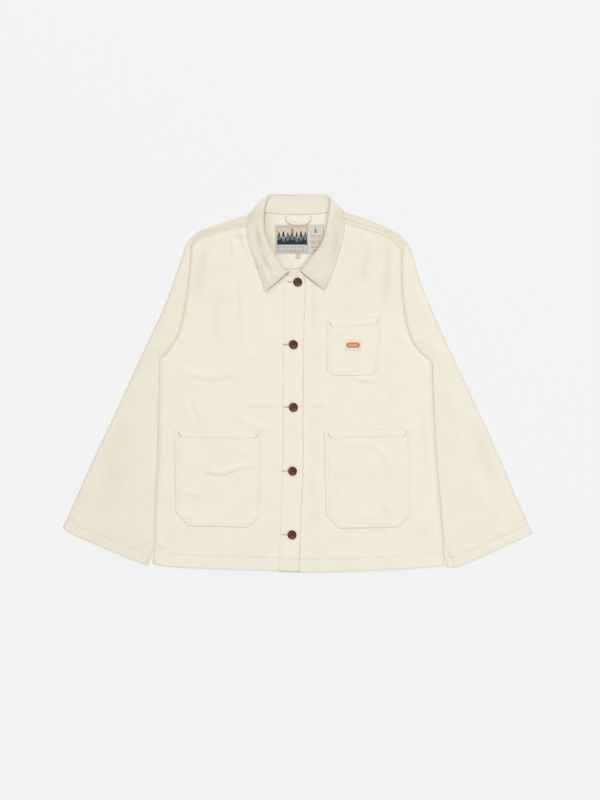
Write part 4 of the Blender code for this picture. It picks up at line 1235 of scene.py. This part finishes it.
def sleeve(side):
    """A flattened tube: from its inner edge over the upper layer, round the outer edge and back underneath.
    Both layers end in a quarter circle at each edge, and the upper one arches up in a half sine."""
    plan = sleeve_plan(side)
    n_columns = plan.shape[1]
    from_outer = walked(plan, 1)
    from_inner = from_outer[:, -1:] - from_outer
    cuff_in = walked(plan, 0)
    up_share = cuff_in / cuff_in[-1:]
    rise = CUFF_FULLNESS + (1 - CUFF_FULLNESS) * ramp(up_share, CUFF_RUN)
    rise = rise * SLEEVE_FULLNESS * ramp(up_share, CAP_RUN)
    seed = 40 if side == "right" else 50
    x, y = plan[..., 0], plan[..., 1]
    folds = creases(x, y, CREASES["sleeve_" + side])
    relief = folds + undulate(x, y, size=70.0, rise=0.16, seed=seed)
    relief += pucker(x, y, ARMHOLE[side], pitch=17.0, reach=14.0, rise=0.35, seed=seed + 2)
    relief += pucker(x, y, CUFF[side], pitch=12.0, reach=16.0, rise=0.26, seed=seed + 4)
    relief += 0.3 * ripple(from_outer, pitch=8.0, seed=seed + 6) * bell(cuff_in - CUFF_ROW, 6.0)
    calm = ramp(from_outer, (0.0, 14.0)) * ramp(from_inner, (0.0, 8.0))
    radius = (FOLD_TOP - CLOTH) / 2
    pit = SLEEVE_INNER[side][0][1]
    below = ramp(y, (pit + 14.0, pit - 2.0))
    bend = quarter(from_outer, radius) * (1 - below * (1 - quarter(from_inner, radius)))
    roll = -0.8 * ramp(from_inner, (5.0, 0.0)) * (1 - below)
    middle = CLOTH / 2 + radius
    arch = rise * np.sin(np.pi * (from_outer / from_outer[:, -1:])) + relief * calm
    arch = np.where(arch < 0, SLEEVE_SINK * np.tanh(arch / SLEEVE_SINK), arch)
    upper = np.dstack([plan, middle + radius * bend + arch + roll])
    soft = np.clip(folds, 0.0, 0.5) * calm
    lower = np.dstack([plan, middle - radius * bend + FLOOR_LIFT + soft * 0.8])
    ring = np.concatenate([upper[:, ::-1], lower[:, 1:]], axis=1)
    cuff_band = from_sides(ring, "foot")
    sewn = 0.7 * stitched(cuff_band, CUFF_ROW) * uneven(ring, 33)
    on_top = np.arange(ring.shape[1]) < n_columns
    out = CLOTH / 2 + HEM_RISE * on_top * ramp(cuff_band, (CUFF_ROW + 1.5, CUFF_ROW - 0.5)) - GROOVE * sewn
    # Painted shade over the whole sleeve, along the cuff's row and edge, in the upper layer's troughs and
    # along both folded edges
    shade = SLEEVE_SHADE[side] + ROW_SHADE * sewn + edge_shade(cuff_band, CUFF_SHADE)
    shade[:, :n_columns] += hollows(relief)[:, ::-1]
    rims = (0.6 - 0.45 * below) * bell(from_inner, 2.4) + edge_shade(from_outer, SLEEVE_FOLD_SHADE)
    shade += np.concatenate([rims[:, ::-1], rims[:, 1:]], axis=1)
    along = unit(plan[-1, n_columns // 2] - plan[0, n_columns // 2])
    turn = np.array([[along[1], along[0]], [-along[0], along[1]]])
    piece, face = cloth("sleeve_" + side, ring, out, CLOTH / 2, flip=side == "right",
                        grain=ring[..., :2] @ turn, shade=shade)
    lines = [line_on(face, CUFF_EDGE.index(CUFF_ROW), slice(4, -4))]
    return piece, [sew("stitches_sleeve_" + side, lines)]


# ---------------------------------------------------------------- collar
# Painted shade over the collar's fall, along its roll and where it turns over the shoulder
FALL_SHADE = 0.08
FALL_SHADE_Y = (330.0, 300.0)
ROLL_SHADE = {"right": 0.9, "left": 0.5}
ROLL_REACH = 3.0
TURN_Y = 322.0
TURN_X = (60.0, 76.0)
ON_TOP_Y = (322.0, 300.0)  # creases only where the collar lies on the fronts
FLOOR_CLEARANCE = 0.16
GATHER = 0.22  # height of the ripples between the rows of stitches
GATHER_PITCH = 13.0
STAND_COLUMNS = 14  # columns up to the roll, which have no rows of stitches


def on_front(x, y):
    """Height of the collar's middle surface where it lies on a front."""
    return body_top(x, y) + GAP + COLLAR / 2


def collar_section(seam, roll, apex, outward, turn, near, far, edge):
    """Points of one section: seam, stand, half a turn of roll that faces apex, fall and outer edge."""
    turn = np.radians(turn)
    to_fall = UP * np.cos(turn) + outward * np.sin(turn)
    centre = roll - apex * ROLL_RADIUS
    angles = np.radians(np.linspace(0, 180, ROLL_STEPS + 1))
    rolled = [centre + ROLL_RADIUS * (np.sin(a) * apex - np.cos(a) * to_fall) for a in angles]
    return [seam, (seam + rolled[0]) / 2, *rolled, near, (near + far) / 2, far, (far + edge) / 2, edge]


def collar_half(side):
    """Sections from the collar's front end to just behind the neck. On the fronts the fall comes down from
    the roll's top by a power of its share. Round the neck each section turns from inwards to backwards."""
    inward = 1.0 if side == "right" else -1.0
    sections = []
    rolls = np.array([row[2:4] for row in COLLAR_FRONT[side]])
    along = np.gradient(rolls, axis=0)
    apexes = unit(np.column_stack([along[:, 1], -along[:, 0], 0 * along[:, 0]])) * inward
    for row, apex in zip(COLLAR_FRONT[side], apexes):
        seam, roll, edge = (np.array(row[k : k + 2]) for k in (0, 2, 4))
        seam = np.array([*seam, on_front(*seam)])
        roll = np.array([*roll, on_front(*roll) + ROLL_RADIUS])
        fall = []
        for share in FALL_SHARES:
            x, y = roll[:2] + (edge - roll[:2]) * share
            fall.append(np.array([x, y, on_front(x, y) + 2 * ROLL_RADIUS * (1 - share**2.5)]))
        sections.append(collar_section(seam, roll, apex, UP, 0.0, *fall))
    for row in COLLAR_TURN[side]:
        seam, roll, near, far, edge = (np.array(row[k : k + 3]) for k in (1, 4, 7, 10, 13))
        swing = np.radians(90 * smooth(row[0] / WHOLE_SWING))
        apex = np.array([np.cos(swing) * inward, np.sin(swing), 0.0])
        outward = np.array([-np.sin(swing) * inward, np.cos(swing), 0.0])
        sections.append(collar_section(seam, roll, apex, outward, row[0], near, far, edge))
    return sections


def collar():
    """Stand, roll and fall as one wall, through sections from one front end to the other."""
    behind = []
    seam_line = np.asarray(COLLAR_SEAM_Y)
    on_back = CLOTH + NECK_LIFT + GAP + COLLAR / 2 + SEAM_CLEARANCE
    for x in COLLAR_BACK:
        seam = np.array([x, y_at(seam_line, x), on_back])
        roll = np.array([x, COLLAR_TOP_Y, COLLAR / 2 + ROLL_RADIUS])
        depth = COLLAR_FALL_Y - COLLAR_TOP_Y
        fall = [np.array([x, COLLAR_TOP_Y + depth * share, COLLAR / 2]) for share in BACK_FALL_SHARES]
        behind.append(collar_section(seam, roll, BACKWARD, UP, 180.0, *fall))
    sections = np.array(collar_half("right") + behind + collar_half("left")[::-1])
    grid = refine_both(sections, CELLS["collar"], RIM_STEPS, COLLAR_EDGE, COLLAR_EDGE, COLLAR_EDGE)
    grid[..., 2] = np.maximum(grid[..., 2], COLLAR / 2 + FLOOR_CLEARANCE)
    edge = from_sides(grid, "right", "foot", "head")
    x, y = grid[..., 0], grid[..., 1]
    on_top = ramp(y, ON_TOP_Y)
    relief = creases(x, y, CREASES["collar"]) * on_top * ramp(edge, CALM_EDGE)
    place = walked(grid, 0)
    gathers = GATHER * ripple(place, pitch=GATHER_PITCH, seed=61) * bell(edge - 5.0, 5.0)
    relief += gathers * ramp(edge, (0.0, 2.0)) * on_top
    grid = grid + UP * relief[..., None]
    across = walked(grid, 1)
    sewn = stitched(edge, *COLLAR_ROWS) * uneven(grid, 34)
    roll_line = curve(sections[:, 4], 500)
    from_roll = np.array([np.linalg.norm(row[:, None] - roll_line, axis=2).min(axis=1) for row in grid])
    roll_at = across[np.arange(len(grid)), from_roll.argmin(axis=1)]
    fall = ramp(across - roll_at[:, None], (0.0, 5.0)) * ramp(y, FALL_SHADE_Y)
    # Painted shade along the rows, in the troughs, at the edges, along the roll, over the fall and where the
    # fall turns over the shoulder
    shade = ROW_SHADE * sewn + hollows(relief) + edge_shade(edge, COLLAR_SHADE)
    shade += np.where(x < 0, ROLL_SHADE["right"], ROLL_SHADE["left"]) * bell(from_roll, ROLL_REACH)
    shade += FALL_SHADE * fall
    shade += edge_shade(y - TURN_Y, TURN_SHADE) * ramp(np.abs(x), TURN_X)
    piece, face = cloth("collar", grid, COLLAR / 2 - 1.2 * GROOVE * sewn, COLLAR / 2, SHADED_CROSS_TWILL,
                        grain=np.dstack([place, across]), shade=shade)
    rows, columns = grid.shape[:2]
    lines = []
    for row in COLLAR_ROWS:
        k = COLLAR_EDGE.index(row)
        lines.append(line_on(face, k, slice(STAND_COLUMNS, columns - k)))
        lines.append(line_on(face, rows - 1 - k, slice(STAND_COLUMNS, columns - k)))
        lines.append(line_on(face, slice(k, rows - k), columns - 1 - k))
    return piece, [sew("stitches_collar", lines)]


# ---------------------------------------------------------------- pockets
POCKET_GAP = -0.35  # its stitches press it into the front
POCKET_RIM = 2.4
POCKET_GATHER = 0.2
POCKET_SEED = {"pocket_chest": 71, "pocket_right": 75, "pocket_left": 79}
MOUTH_BULGE = 0.35  # the hemmed mouth stands off the front in its middle
TACK_START, TACK_END = np.array([8.0, -4.0]), np.array([14.5, -13.0])  # from the pocket's upper corner


def pocket_plan(name):
    """A pocket in plan: even rows between its sections, ruled across. Its mouth bows up in a half sine."""
    sections = np.array(POCKET_SECTIONS[name])
    rows = []
    for upper, lower, steps in zip(sections, sections[1:], (10, 3)):
        rows += [upper + (lower - upper) * k / steps for k in range(steps)]
    rows = np.array([*rows, sections[-1]])[::-1]
    u = np.linspace(0, 1, 9)[None, :, None]
    plan = (1 - u) * rows[:, None, :2] + u * rows[:, None, 2:]
    up = np.linspace(0, 1, len(rows))[:, None]
    plan[..., 1] += POCKET_BOW * np.sin(np.pi * u[..., 0]) * up**3
    return refine_both(plan, CELLS[name], STITCHED_EDGE, STITCHED_EDGE, STITCHED_EDGE, MOUTH_EDGE)


def pocket(name):
    """A patch pocket with a hemmed mouth, cut corners, a double row of stitches and two bar tacks."""
    side = "right" if name == "pocket_right" else "left"
    flat_grid = lay(pocket_plan(name), lambda px, py: front_top(side, px, py) + POCKET_GAP + CLOTH / 2)
    x, y = flat_grid[..., 0], flat_grid[..., 1]
    edge = from_sides(flat_grid, "left", "right", "foot")
    mouth = from_sides(flat_grid, "head")
    seed = POCKET_SEED[name]
    folds = creases(x, y, CREASES[name])
    relief = folds * ramp(edge, (6.0, 16.0)) * ramp(mouth, (2.0, 20.0))
    across = walked(flat_grid, 1)
    gathers = POCKET_GATHER * ripple(walked(flat_grid, 0) + across, pitch=GATHER_PITCH, seed=seed)
    relief += gathers * bell(edge - 4.5, 4.0) * ramp(edge, (0.0, 2.0))
    bulge = MOUTH_BULGE * ramp(mouth, (0.0, 3.0)) * ramp(mouth, (26.0, 8.0))
    relief += bulge * np.sin(np.pi * across / across[:, -1:])
    grid = flat_grid + UP * relief[..., None]
    rise = CLOTH / 2 + POCKET_RISE * ramp(edge, (SECOND_ROW + 1.0, SECOND_ROW - 1.5))
    rise = np.maximum(rise, CLOTH / 2 + HEM_RISE * ramp(mouth, (MOUTH_ROW + 2.0, MOUTH_ROW - 1.0)))
    sewn = stitched(edge, FIRST_ROW) * 0.3 + stitched(edge, SECOND_ROW) * 0.5
    sewn = np.maximum(sewn, stitched(mouth, MOUTH_ROW) * 0.28 * ramp(edge, (SECOND_ROW - 0.5, SECOND_ROW)))
    sewn *= uneven(grid, seed + 2)
    # Painted shade along the rows, in the troughs and along the mouth's edge
    shade = ROW_SHADE * sewn + hollows(folds) + edge_shade(mouth, MOUTH_SHADE)
    piece, face = cloth(name, grid, rise - GROOVE * sewn, CLOTH / 2, rim=POCKET_RIM, shade=shade)
    rows, columns = grid.shape[:2]
    lines = []
    for row, short in ((FIRST_ROW, 3), (SECOND_ROW, 5)):
        k = STITCHED_EDGE.index(row)
        lines.append(line_on(face, slice(k, rows - short), k))
        lines.append(line_on(face, k, slice(k, columns - k)))
        lines.append(line_on(face, slice(k, rows - short), columns - 1 - k))
    k = STITCHED_EDGE.index(SECOND_ROW)
    lines.append(line_on(face, rows - 1 - MOUTH_EDGE.index(MOUTH_ROW), slice(k, columns - k)))
    sewn = sew("stitches_" + name, lines)
    reach = 0.8 if name == "pocket_chest" else 1.0
    tacks = []
    for column, lean in ((0, 1.0), (-1, -1.0)):
        ends = [grid[-1, column, :2] + end * [lean, 1.0] * reach for end in (TACK_START, TACK_END)]
        tacks.append(offset_line(straight(*ends, 12),
                                 lambda px, py: front_top(side, px, py) + POCKET_GAP + CLOTH + 0.4))
    tack = sew("bar_tacks_" + name, tacks, TACK, pitch=0.62, radius=0.3, across=1.9)
    return piece, [sewn, tack]


# ---------------------------------------------------------------- buttons and buttonholes
# A button's turned section from its middle out: (radius, height)
BUTTON_FACE = [(0.0, 1.55), (2.0, 1.55), (3.6, 1.62), (4.6, 1.82), (5.4, 2.25), (6.0, 2.8), (6.7, 3.15),
               (7.4, 3.2), (8.0, 2.9), (8.4, 2.35), (8.5, 1.8), (8.3, 1.1), (7.8, 0.55), (6.4, 0.15),
               (4.0, 0.0)]
BUTTON_SPOKES = 72
FLAT_RINGS = 20  # rings of the sunk middle, out to the flat radius
FLAT_RADIUS = 3.4
HOLE_OUT = 1.35
HOLE_RADIUS = 0.85
HOLE_DEPTH = 1.1
SLIT_START, SLIT_END = -18.5, 1.5  # along x from the button's middle
SATIN_APART = 0.85
SATIN_LIFT = 0.42
SLIT_LIFT = 0.36
SHANK_HALF = 1.9
SHANK_LIFT = 1.6


def button(name, centre):
    """A turned button: its section swept round, with four sewing holes as pits near its middle."""
    x0, y0 = centre
    base = front_top("right", np.array([x0]), np.array([y0]))[0] + GAP + PLACKET_RISE
    section = curve(BUTTON_FACE, 54)
    outer = section[section[:, 0] > FLAT_RADIUS]
    radius = np.concatenate([np.linspace(0.15, FLAT_RADIUS, FLAT_RINGS), outer[:, 0]])
    height = np.concatenate([np.full(FLAT_RINGS, BUTTON_FACE[0][1]), outer[:, 1]])
    k = np.arange(BUTTON_SPOKES)
    angles = 2 * np.pi * k / BUTTON_SPOKES
    x = radius[:, None] * np.cos(angles)
    y = radius[:, None] * np.sin(angles)
    z = np.repeat(height[:, None], BUTTON_SPOKES, axis=1)
    pit = np.zeros_like(z)
    for hole_x in (-HOLE_OUT, HOLE_OUT):
        for hole_y in (-HOLE_OUT, HOLE_OUT):
            away = np.hypot(x - hole_x, y - hole_y)
            pit = np.maximum(pit, ramp(away, (HOLE_RADIUS + 0.25, HOLE_RADIUS - 0.2)))
    z[:FLAT_RINGS] -= HOLE_DEPTH * pit[:FLAT_RINGS]
    points = np.stack([x + x0, y + y0, z + base], axis=-1).reshape(-1, 3)
    middle = [x0, y0, base + BUTTON_FACE[0][1]]
    foot = [x0, y0, base]
    after = (k + 1) % BUTTON_SPOKES
    faces = []
    for low in range(0, len(points) - BUTTON_SPOKES, BUTTON_SPOKES):
        high = low + BUTTON_SPOKES
        faces += np.stack([low + k, high + k, high + after, low + after], axis=1).tolist()
    last = len(points) - BUTTON_SPOKES
    faces += np.stack([np.full(BUTTON_SPOKES, len(points)), k, after], axis=1).tolist()
    faces += np.stack([np.full(BUTTON_SPOKES, len(points) + 1), last + after, last + k], axis=1).tolist()
    shade = np.append(np.repeat(ramp(radius, (5.2, 6.6)), BUTTON_SPOKES), [0.0, 1.0])
    piece = build(name + "_horn", np.vstack([points, middle, foot]), faces, HORN, shade=shade)
    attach(piece, "root")
    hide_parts(name)
    return base


def on_placket(start, end, count, lift):
    """A straight line at a height above the right front, for stitches."""
    return offset_line(straight(start, end, count), lambda x, y: front_top("right", x, y) + lift)


def buttonhole(centre):
    """Satin stitches down both sides of a slit and across its ends."""
    x0, y0 = centre
    left, right = x0 + SLIT_START, x0 + SLIT_END
    lines = [on_placket((left, y), (right, y), 30, SATIN_LIFT) for y in (y0 - SATIN_APART, y0 + SATIN_APART)]
    for x in (left - 0.7, right + 0.7):
        lines.append(on_placket((x, y0 - 1.5), (x, y0 + 1.5), 8, SATIN_LIFT))
    return lines


def shank_threads(centre, base):
    """Two short lines over a button's holes, with upright normals."""
    x0, y0 = centre
    lines = []
    for y in (y0 - HOLE_OUT, y0 + HOLE_OUT):
        path = straight((x0 - SHANK_HALF, y), (x0 + SHANK_HALF, y), 4)
        lines.append(offset_line(path, lambda px, py: np.full_like(px, base + SHANK_LIFT)))
    return lines


# ---------------------------------------------------------------- labels and loop
def flat_patch(corners, columns, rows):
    """An even grid in plan between two opposite corners."""
    x = np.linspace(corners[0], corners[2], columns + 1)
    y = np.linspace(corners[1], corners[3], rows + 1)
    return np.dstack(np.meshgrid(x, y))


def paint(tint, mask, shade):
    """Lays a thread colour over a picture where the mask is 1."""
    mask = np.clip(mask, 0.0, 1.0)[..., None]
    return tint * (1 - mask) + np.array(shade[:3]) * mask


THREAD_BLUR = 0.35


def under(y, line):
    """1 below a line and 0 above it, with a thread's width of blur."""
    return np.clip((line - y) / THREAD_BLUR + 0.5, 0.0, 1.0)


def box(x, y, x0, y0, x1, y1):
    """1 inside a rectangle: under all four of its sides."""
    return under(-x, -x0) * under(x, x1) * under(-y, -y0) * under(y, y1)


def pine(x, y, x0, foot, tall):
    """A pine: three stacked triangles, each narrower than the one below."""
    mask = 0.0
    for tier in range(3):
        low = foot + tall * 0.27 * tier
        high = low + tall * (0.46 - 0.04 * tier)
        half = tall * (0.3 - 0.07 * tier) * (high - y) / (high - low)
        mask = np.maximum(mask, under(np.abs(x - x0), half) * under(-y, -low))
    return mask


def disc(x, y, x0, y0, radius):
    """1 inside a circle."""
    return under(np.hypot(x - x0, y - y0), radius)


def dashes(x, y, rows, length=2.2, thick=0.9):
    """1 inside short dashes: rows of (start, height, end), a dash every one and a half lengths."""
    mask = 0.0
    for start, low, end in rows:
        for at in np.arange(start, end - length, 1.5 * length):
            mask = np.maximum(mask, box(x, y, at, low, at + length, low + thick))
    return mask


def even_tint(plan, thread):
    """The ground of a woven picture: one thread colour all over."""
    return np.ones((*plan.shape[:2], 3)) * np.array(thread[:3])


def sew_along(name, corners, count, height, **size):
    """Stitches in pale tape thread from corner to corner, at a height."""
    lines = [offset_line(straight(a, b, count), height) for a, b in corners]
    return sew("stitches_" + name, lines, TAPE, "woven_label", **size)


PICTURE = (3.2, 3.2, 62.0, 52.0)  # from the label's lower left corner
FRAME_LINE = 1.0
PINE_PITCH = 8.4
SHORE = 17.0
DASHES_X = (68.0, 88.0)


def neck_label():
    """A plain woven scene in a thin frame: two rows of even hills, each with a row of pines, and a lake with
    waves below a sun. Beside it are a small pine and rows of dashes."""
    plan = flat_patch(NECK_LABEL, 150, 90)
    grid = lay(plan, lambda x, y: back_inside(x, y) + GAP + TRIM / 2)
    x = plan[..., 0] - NECK_LABEL[0]
    y = plan[..., 1] - NECK_LABEL[1]
    ink, slate, pale = colour(40, 44, 54), colour(104, 122, 134), colour(208, 210, 204)
    ground, blush = colour(221, 209, 193), colour(220, 200, 181)
    rust, ochre = colour(140, 66, 50), colour(196, 134, 90)
    tint = even_tint(plan, ground)
    picture = box(x, y, *PICTURE)
    inside = box(x, y, *(at + FRAME_LINE for at in PICTURE[:2]), *(at - FRAME_LINE for at in PICTURE[2:]))
    tint = paint(tint, picture, blush)
    far_hills = 33.0 + 2.6 * np.cos(x / 4.7)
    near_hills = 24.5 + 2.2 * np.sin(x / 3.9)
    tint = paint(tint, disc(x, y, 32.5, 45.0, 3.2), ochre)
    for k, x0 in enumerate(np.arange(7.5, 60.0, PINE_PITCH)):
        tint = paint(tint, pine(x, y, x0, 32.0, 11.0 + 2.0 * (k % 2)) * picture, ink)
    tint = paint(tint, under(y, far_hills) * picture, slate)
    for x0 in np.arange(11.7, 60.0, PINE_PITCH):
        tint = paint(tint, pine(x, y, x0, 23.0, 10.0) * picture, ink)
    tint = paint(tint, under(y, near_hills) * picture, ink)
    tint = paint(tint, under(y, SHORE) * picture, pale)
    waves = [(5.0 + 2.0 * (k % 2), 5.6 + 2.6 * k, 60.0) for k in range(4)]
    tint = paint(tint, dashes(x, y, waves, 5.0), slate)
    tint = paint(tint, picture * (1 - inside), slate)
    tint = paint(tint, pine(x, y, 77.5, 40.0, 11.0), slate)
    for heights, thread in (((34.0, 31.0), slate), ((25.6, 22.6, 19.6), rust), ((14.0, 11.0), slate)):
        tint = paint(tint, dashes(x, y, [(DASHES_X[0], low, DASHES_X[1]) for low in heights]), thread)
    tint = paint(tint, box(x, y, 73.5, 5.4, 81.5, 7.4), ochre)
    piece, _ = cloth("neck_label", grid, TRIM / 2, TRIM / 2, LABEL, "woven_label", tint=tint)
    x0, y0, x1, y1 = NECK_LABEL
    left, right, low, high = x0 + 1.2, x1 - 1.2, y0 + 1.2, y1 - 1.4
    rest = [(left, high), (left, low), (right, low), (right, high)]
    sewn = sew_along("neck_label", [(rest[0], rest[-1]), *zip(rest, rest[1:])], 40,
                     lambda px, py: back_inside(px, py) + GAP + TRIM, pitch=2.6, length=2.0, radius=0.18)
    return piece, [sewn]


def size_tab():
    """A small folded tab, left bare."""
    plan = refine_both(flat_patch(SIZE_TAB, 6, 6), CELLS["size_tab"], *[RIM_STEPS] * 4)
    curl = 0.5 * ramp(plan[..., 1], (SIZE_TAB[3] - 2.0, SIZE_TAB[1]))
    grid = lay(plan, lambda x, y: back_inside(x, y) + GAP + TRIM / 2) + UP * curl[..., None]
    tint = even_tint(plan, colour(214, 206, 190))
    piece, _ = cloth("size_tab", grid, TRIM / 2, TRIM / 2, LABEL, "woven_label", tint=tint)
    return piece, []


def chest_tab():
    """A small woven label: a round-ended bar in orange thread, with a pale stripe along it."""
    plan = flat_patch(CHEST_TAB, 90, 62)
    on_pocket = POCKET_GAP + CLOTH + TAB / 2 + 0.1
    grid = lay(plan, lambda x, y: front_top("left", x, y) + on_pocket)
    x = plan[..., 0] - (CHEST_TAB[0] + CHEST_TAB[2]) / 2
    y = plan[..., 1] - (CHEST_TAB[1] + CHEST_TAB[3]) / 2
    tint = even_tint(plan, colour(239, 229, 211))
    from_middle = np.hypot(np.maximum(np.abs(x) - BAR_STRAIGHT / 2, 0.0), y)
    tint = paint(tint, under(from_middle, BAR_RADIUS), colour(213, 134, 78))
    stripe = box(x, y, -BAR_STRAIGHT / 2, -STRIPE / 2, BAR_STRAIGHT / 2, STRIPE / 2)
    tint = paint(tint, stripe, colour(240, 205, 170))
    piece, _ = cloth("chest_tab", grid, TAB / 2, TAB / 2, LABEL, "woven_label", tint=tint)
    x0, y0, x1, y1 = CHEST_TAB
    corners = [(x0 + 1, y0 + 1), (x1 - 1, y0 + 1), (x1 - 1, y1 - 1), (x0 + 1, y1 - 1), (x0 + 1, y0 + 1)]
    sewn = sew_along("chest_tab", zip(corners, corners[1:]), 20,
                     lambda px, py: front_top("left", px, py) + on_pocket + TAB / 2,
                     pitch=2.2, length=1.7, radius=0.16)
    return piece, [sewn]


LOOP_SHARES = np.array([-0.5, -0.46, -0.4, -0.3, -0.15, 0.0, 0.15, 0.3, 0.4, 0.46, 0.5])
LOOP_CROWN = 0.25


def hanger_loop():
    """A crowned band along its path, up over the label's top edge, with its ends sewn down."""
    path = curve(LOOP_PATH, 56)
    along = unit(np.gradient(path, axis=0))
    across = np.column_stack([-along[:, 1], along[:, 0]])
    length = walked(path)
    base = back_inside(*path.T) + GAP + TRIM
    height = base + (TRIM + GAP) * smooth(np.sin(np.pi * length / length[-1]) * LOOP_CLIMB) - TRIM / 2
    offsets = LOOP_SHARES * LOOP_WIDTH
    crown = LOOP_CROWN * (1 - (2 * LOOP_SHARES) ** 2)
    grid = np.array([np.column_stack([path + across * w, height + up]) for w, up in zip(offsets, crown)])
    # Painted shade along the loop's lower edge
    shade = np.repeat(edge_shade(offsets + LOOP_WIDTH / 2, LOOP_SHADE)[:, None], len(path), axis=1)
    grain = np.dstack(np.meshgrid(length, offsets))
    piece, face = cloth("hanger_loop", grid, TRIM / 2, TRIM / 2, TAPE, grain=grain, shade=shade)
    lines = [line_on(face, row, slice(2, -2)) for row in (2, -3)]
    return piece, [sew("stitches_hanger_loop", lines, pitch=2.4, length=1.9, radius=0.2)]


# ---------------------------------------------------------------- the jacket
for side in SIDES:
    front(side)
    sleeve(side)
back()
collar()
for name in POCKET_SECTIONS:
    pocket(name)
neck_label()
size_tab()
chest_tab()
hanger_loop()

hole_lines = []
slit_shadow_lines = []
shanks = []
for number, centre in enumerate(BUTTONS, start=1):
    base = button(f"button_{number}", centre)
    hole_lines += buttonhole(centre)
    slit_shadow_lines.append(on_placket((centre[0] - 18.0, centre[1]), centre, 24, SLIT_LIFT))
    shanks += shank_threads(centre, base)
satin = sew("buttonholes", hole_lines, HOLE, pitch=0.55, radius=0.3, across=1.5)
# Along each slit a dark line of painted shadow, where the cut opens
slit = sew("buttonhole_slit_shadows", slit_shadow_lines, SLIT, pitch=4.9, length=5.4, radius=0.2)
sew("button_threads", shanks, BROWN_THREAD, "button", pitch=3.6, length=3.6, radius=0.42)

# ---------------------------------------------------------------- floor, light and camera
FLOOR_REACH = 40.0  # metres
FLOOR_DROP = 0.0003  # clear of the underside's stitches
FLOOR_GLOW = 0.74
WORLD_GLOW = 0.3
WHITE = (1.0, 1.0, 1.0, 1.0)
VIEW_HEIGHT = 1.536  # metres of floor from the frame's foot to its head
VIEW_MIDDLE = (0.0038, -0.0322)
CAMERA_HEIGHT = 5.0

floor_mesh = bpy.data.meshes.new("floor")
corners = [(x * FLOOR_REACH, y * FLOOR_REACH, -FLOOR_DROP) for x, y in ((-1, -1), (1, -1), (1, 1), (-1, 1))]
floor_mesh.from_pydata(corners, [], [(0, 1, 2, 3)])
floor = bpy.data.objects.new("floor", floor_mesh)
light_table, _, shader = plain_material("light table", 0.9)
shader.inputs["Base Color"].default_value = (0.14, 0.14, 0.141, 1.0)
shader.inputs["Emission Color"].default_value = WHITE
shader.inputs["Emission Strength"].default_value = FLOOR_GLOW
floor_mesh.materials.append(light_table)
bpy.context.scene.collection.objects.link(floor)


def softbox(name, place, size, watts):
    """A round light at a place in metres, turned to the jacket."""
    light = bpy.data.lights.new(name, "AREA")
    light.shape = "DISK"
    light.size = size
    light.energy = watts
    lamp = bpy.data.objects.new(name, light)
    lamp.location = place
    lamp.rotation_euler = (-mathutils.Vector(place)).to_track_quat("-Z", "Y").to_euler()
    bpy.context.scene.collection.objects.link(lamp)


softbox("softbox beyond the collar", (-1.0, 4.6, 7.3), 3.2, 459.0)
softbox("softbox beyond the hem", (3.4, -2.2, 4.6), 2.6, 122.0)

world = bpy.data.worlds.new("studio")
world.use_nodes = True
world.node_tree.nodes["Background"].inputs["Color"].default_value = WHITE
world.node_tree.nodes["Background"].inputs["Strength"].default_value = WORLD_GLOW
bpy.context.scene.world = world
bpy.context.scene.view_settings.view_transform = "Standard"

camera_data = bpy.data.cameras.new("camera")
camera_data.sensor_width = 36.0
camera_data.lens = camera_data.sensor_width * CAMERA_HEIGHT / VIEW_HEIGHT
camera_data.clip_end = 50.0
camera = bpy.data.objects.new("camera", camera_data)
camera.location = (*VIEW_MIDDLE, CAMERA_HEIGHT)
bpy.context.scene.collection.objects.link(camera)
bpy.context.scene.camera = camera
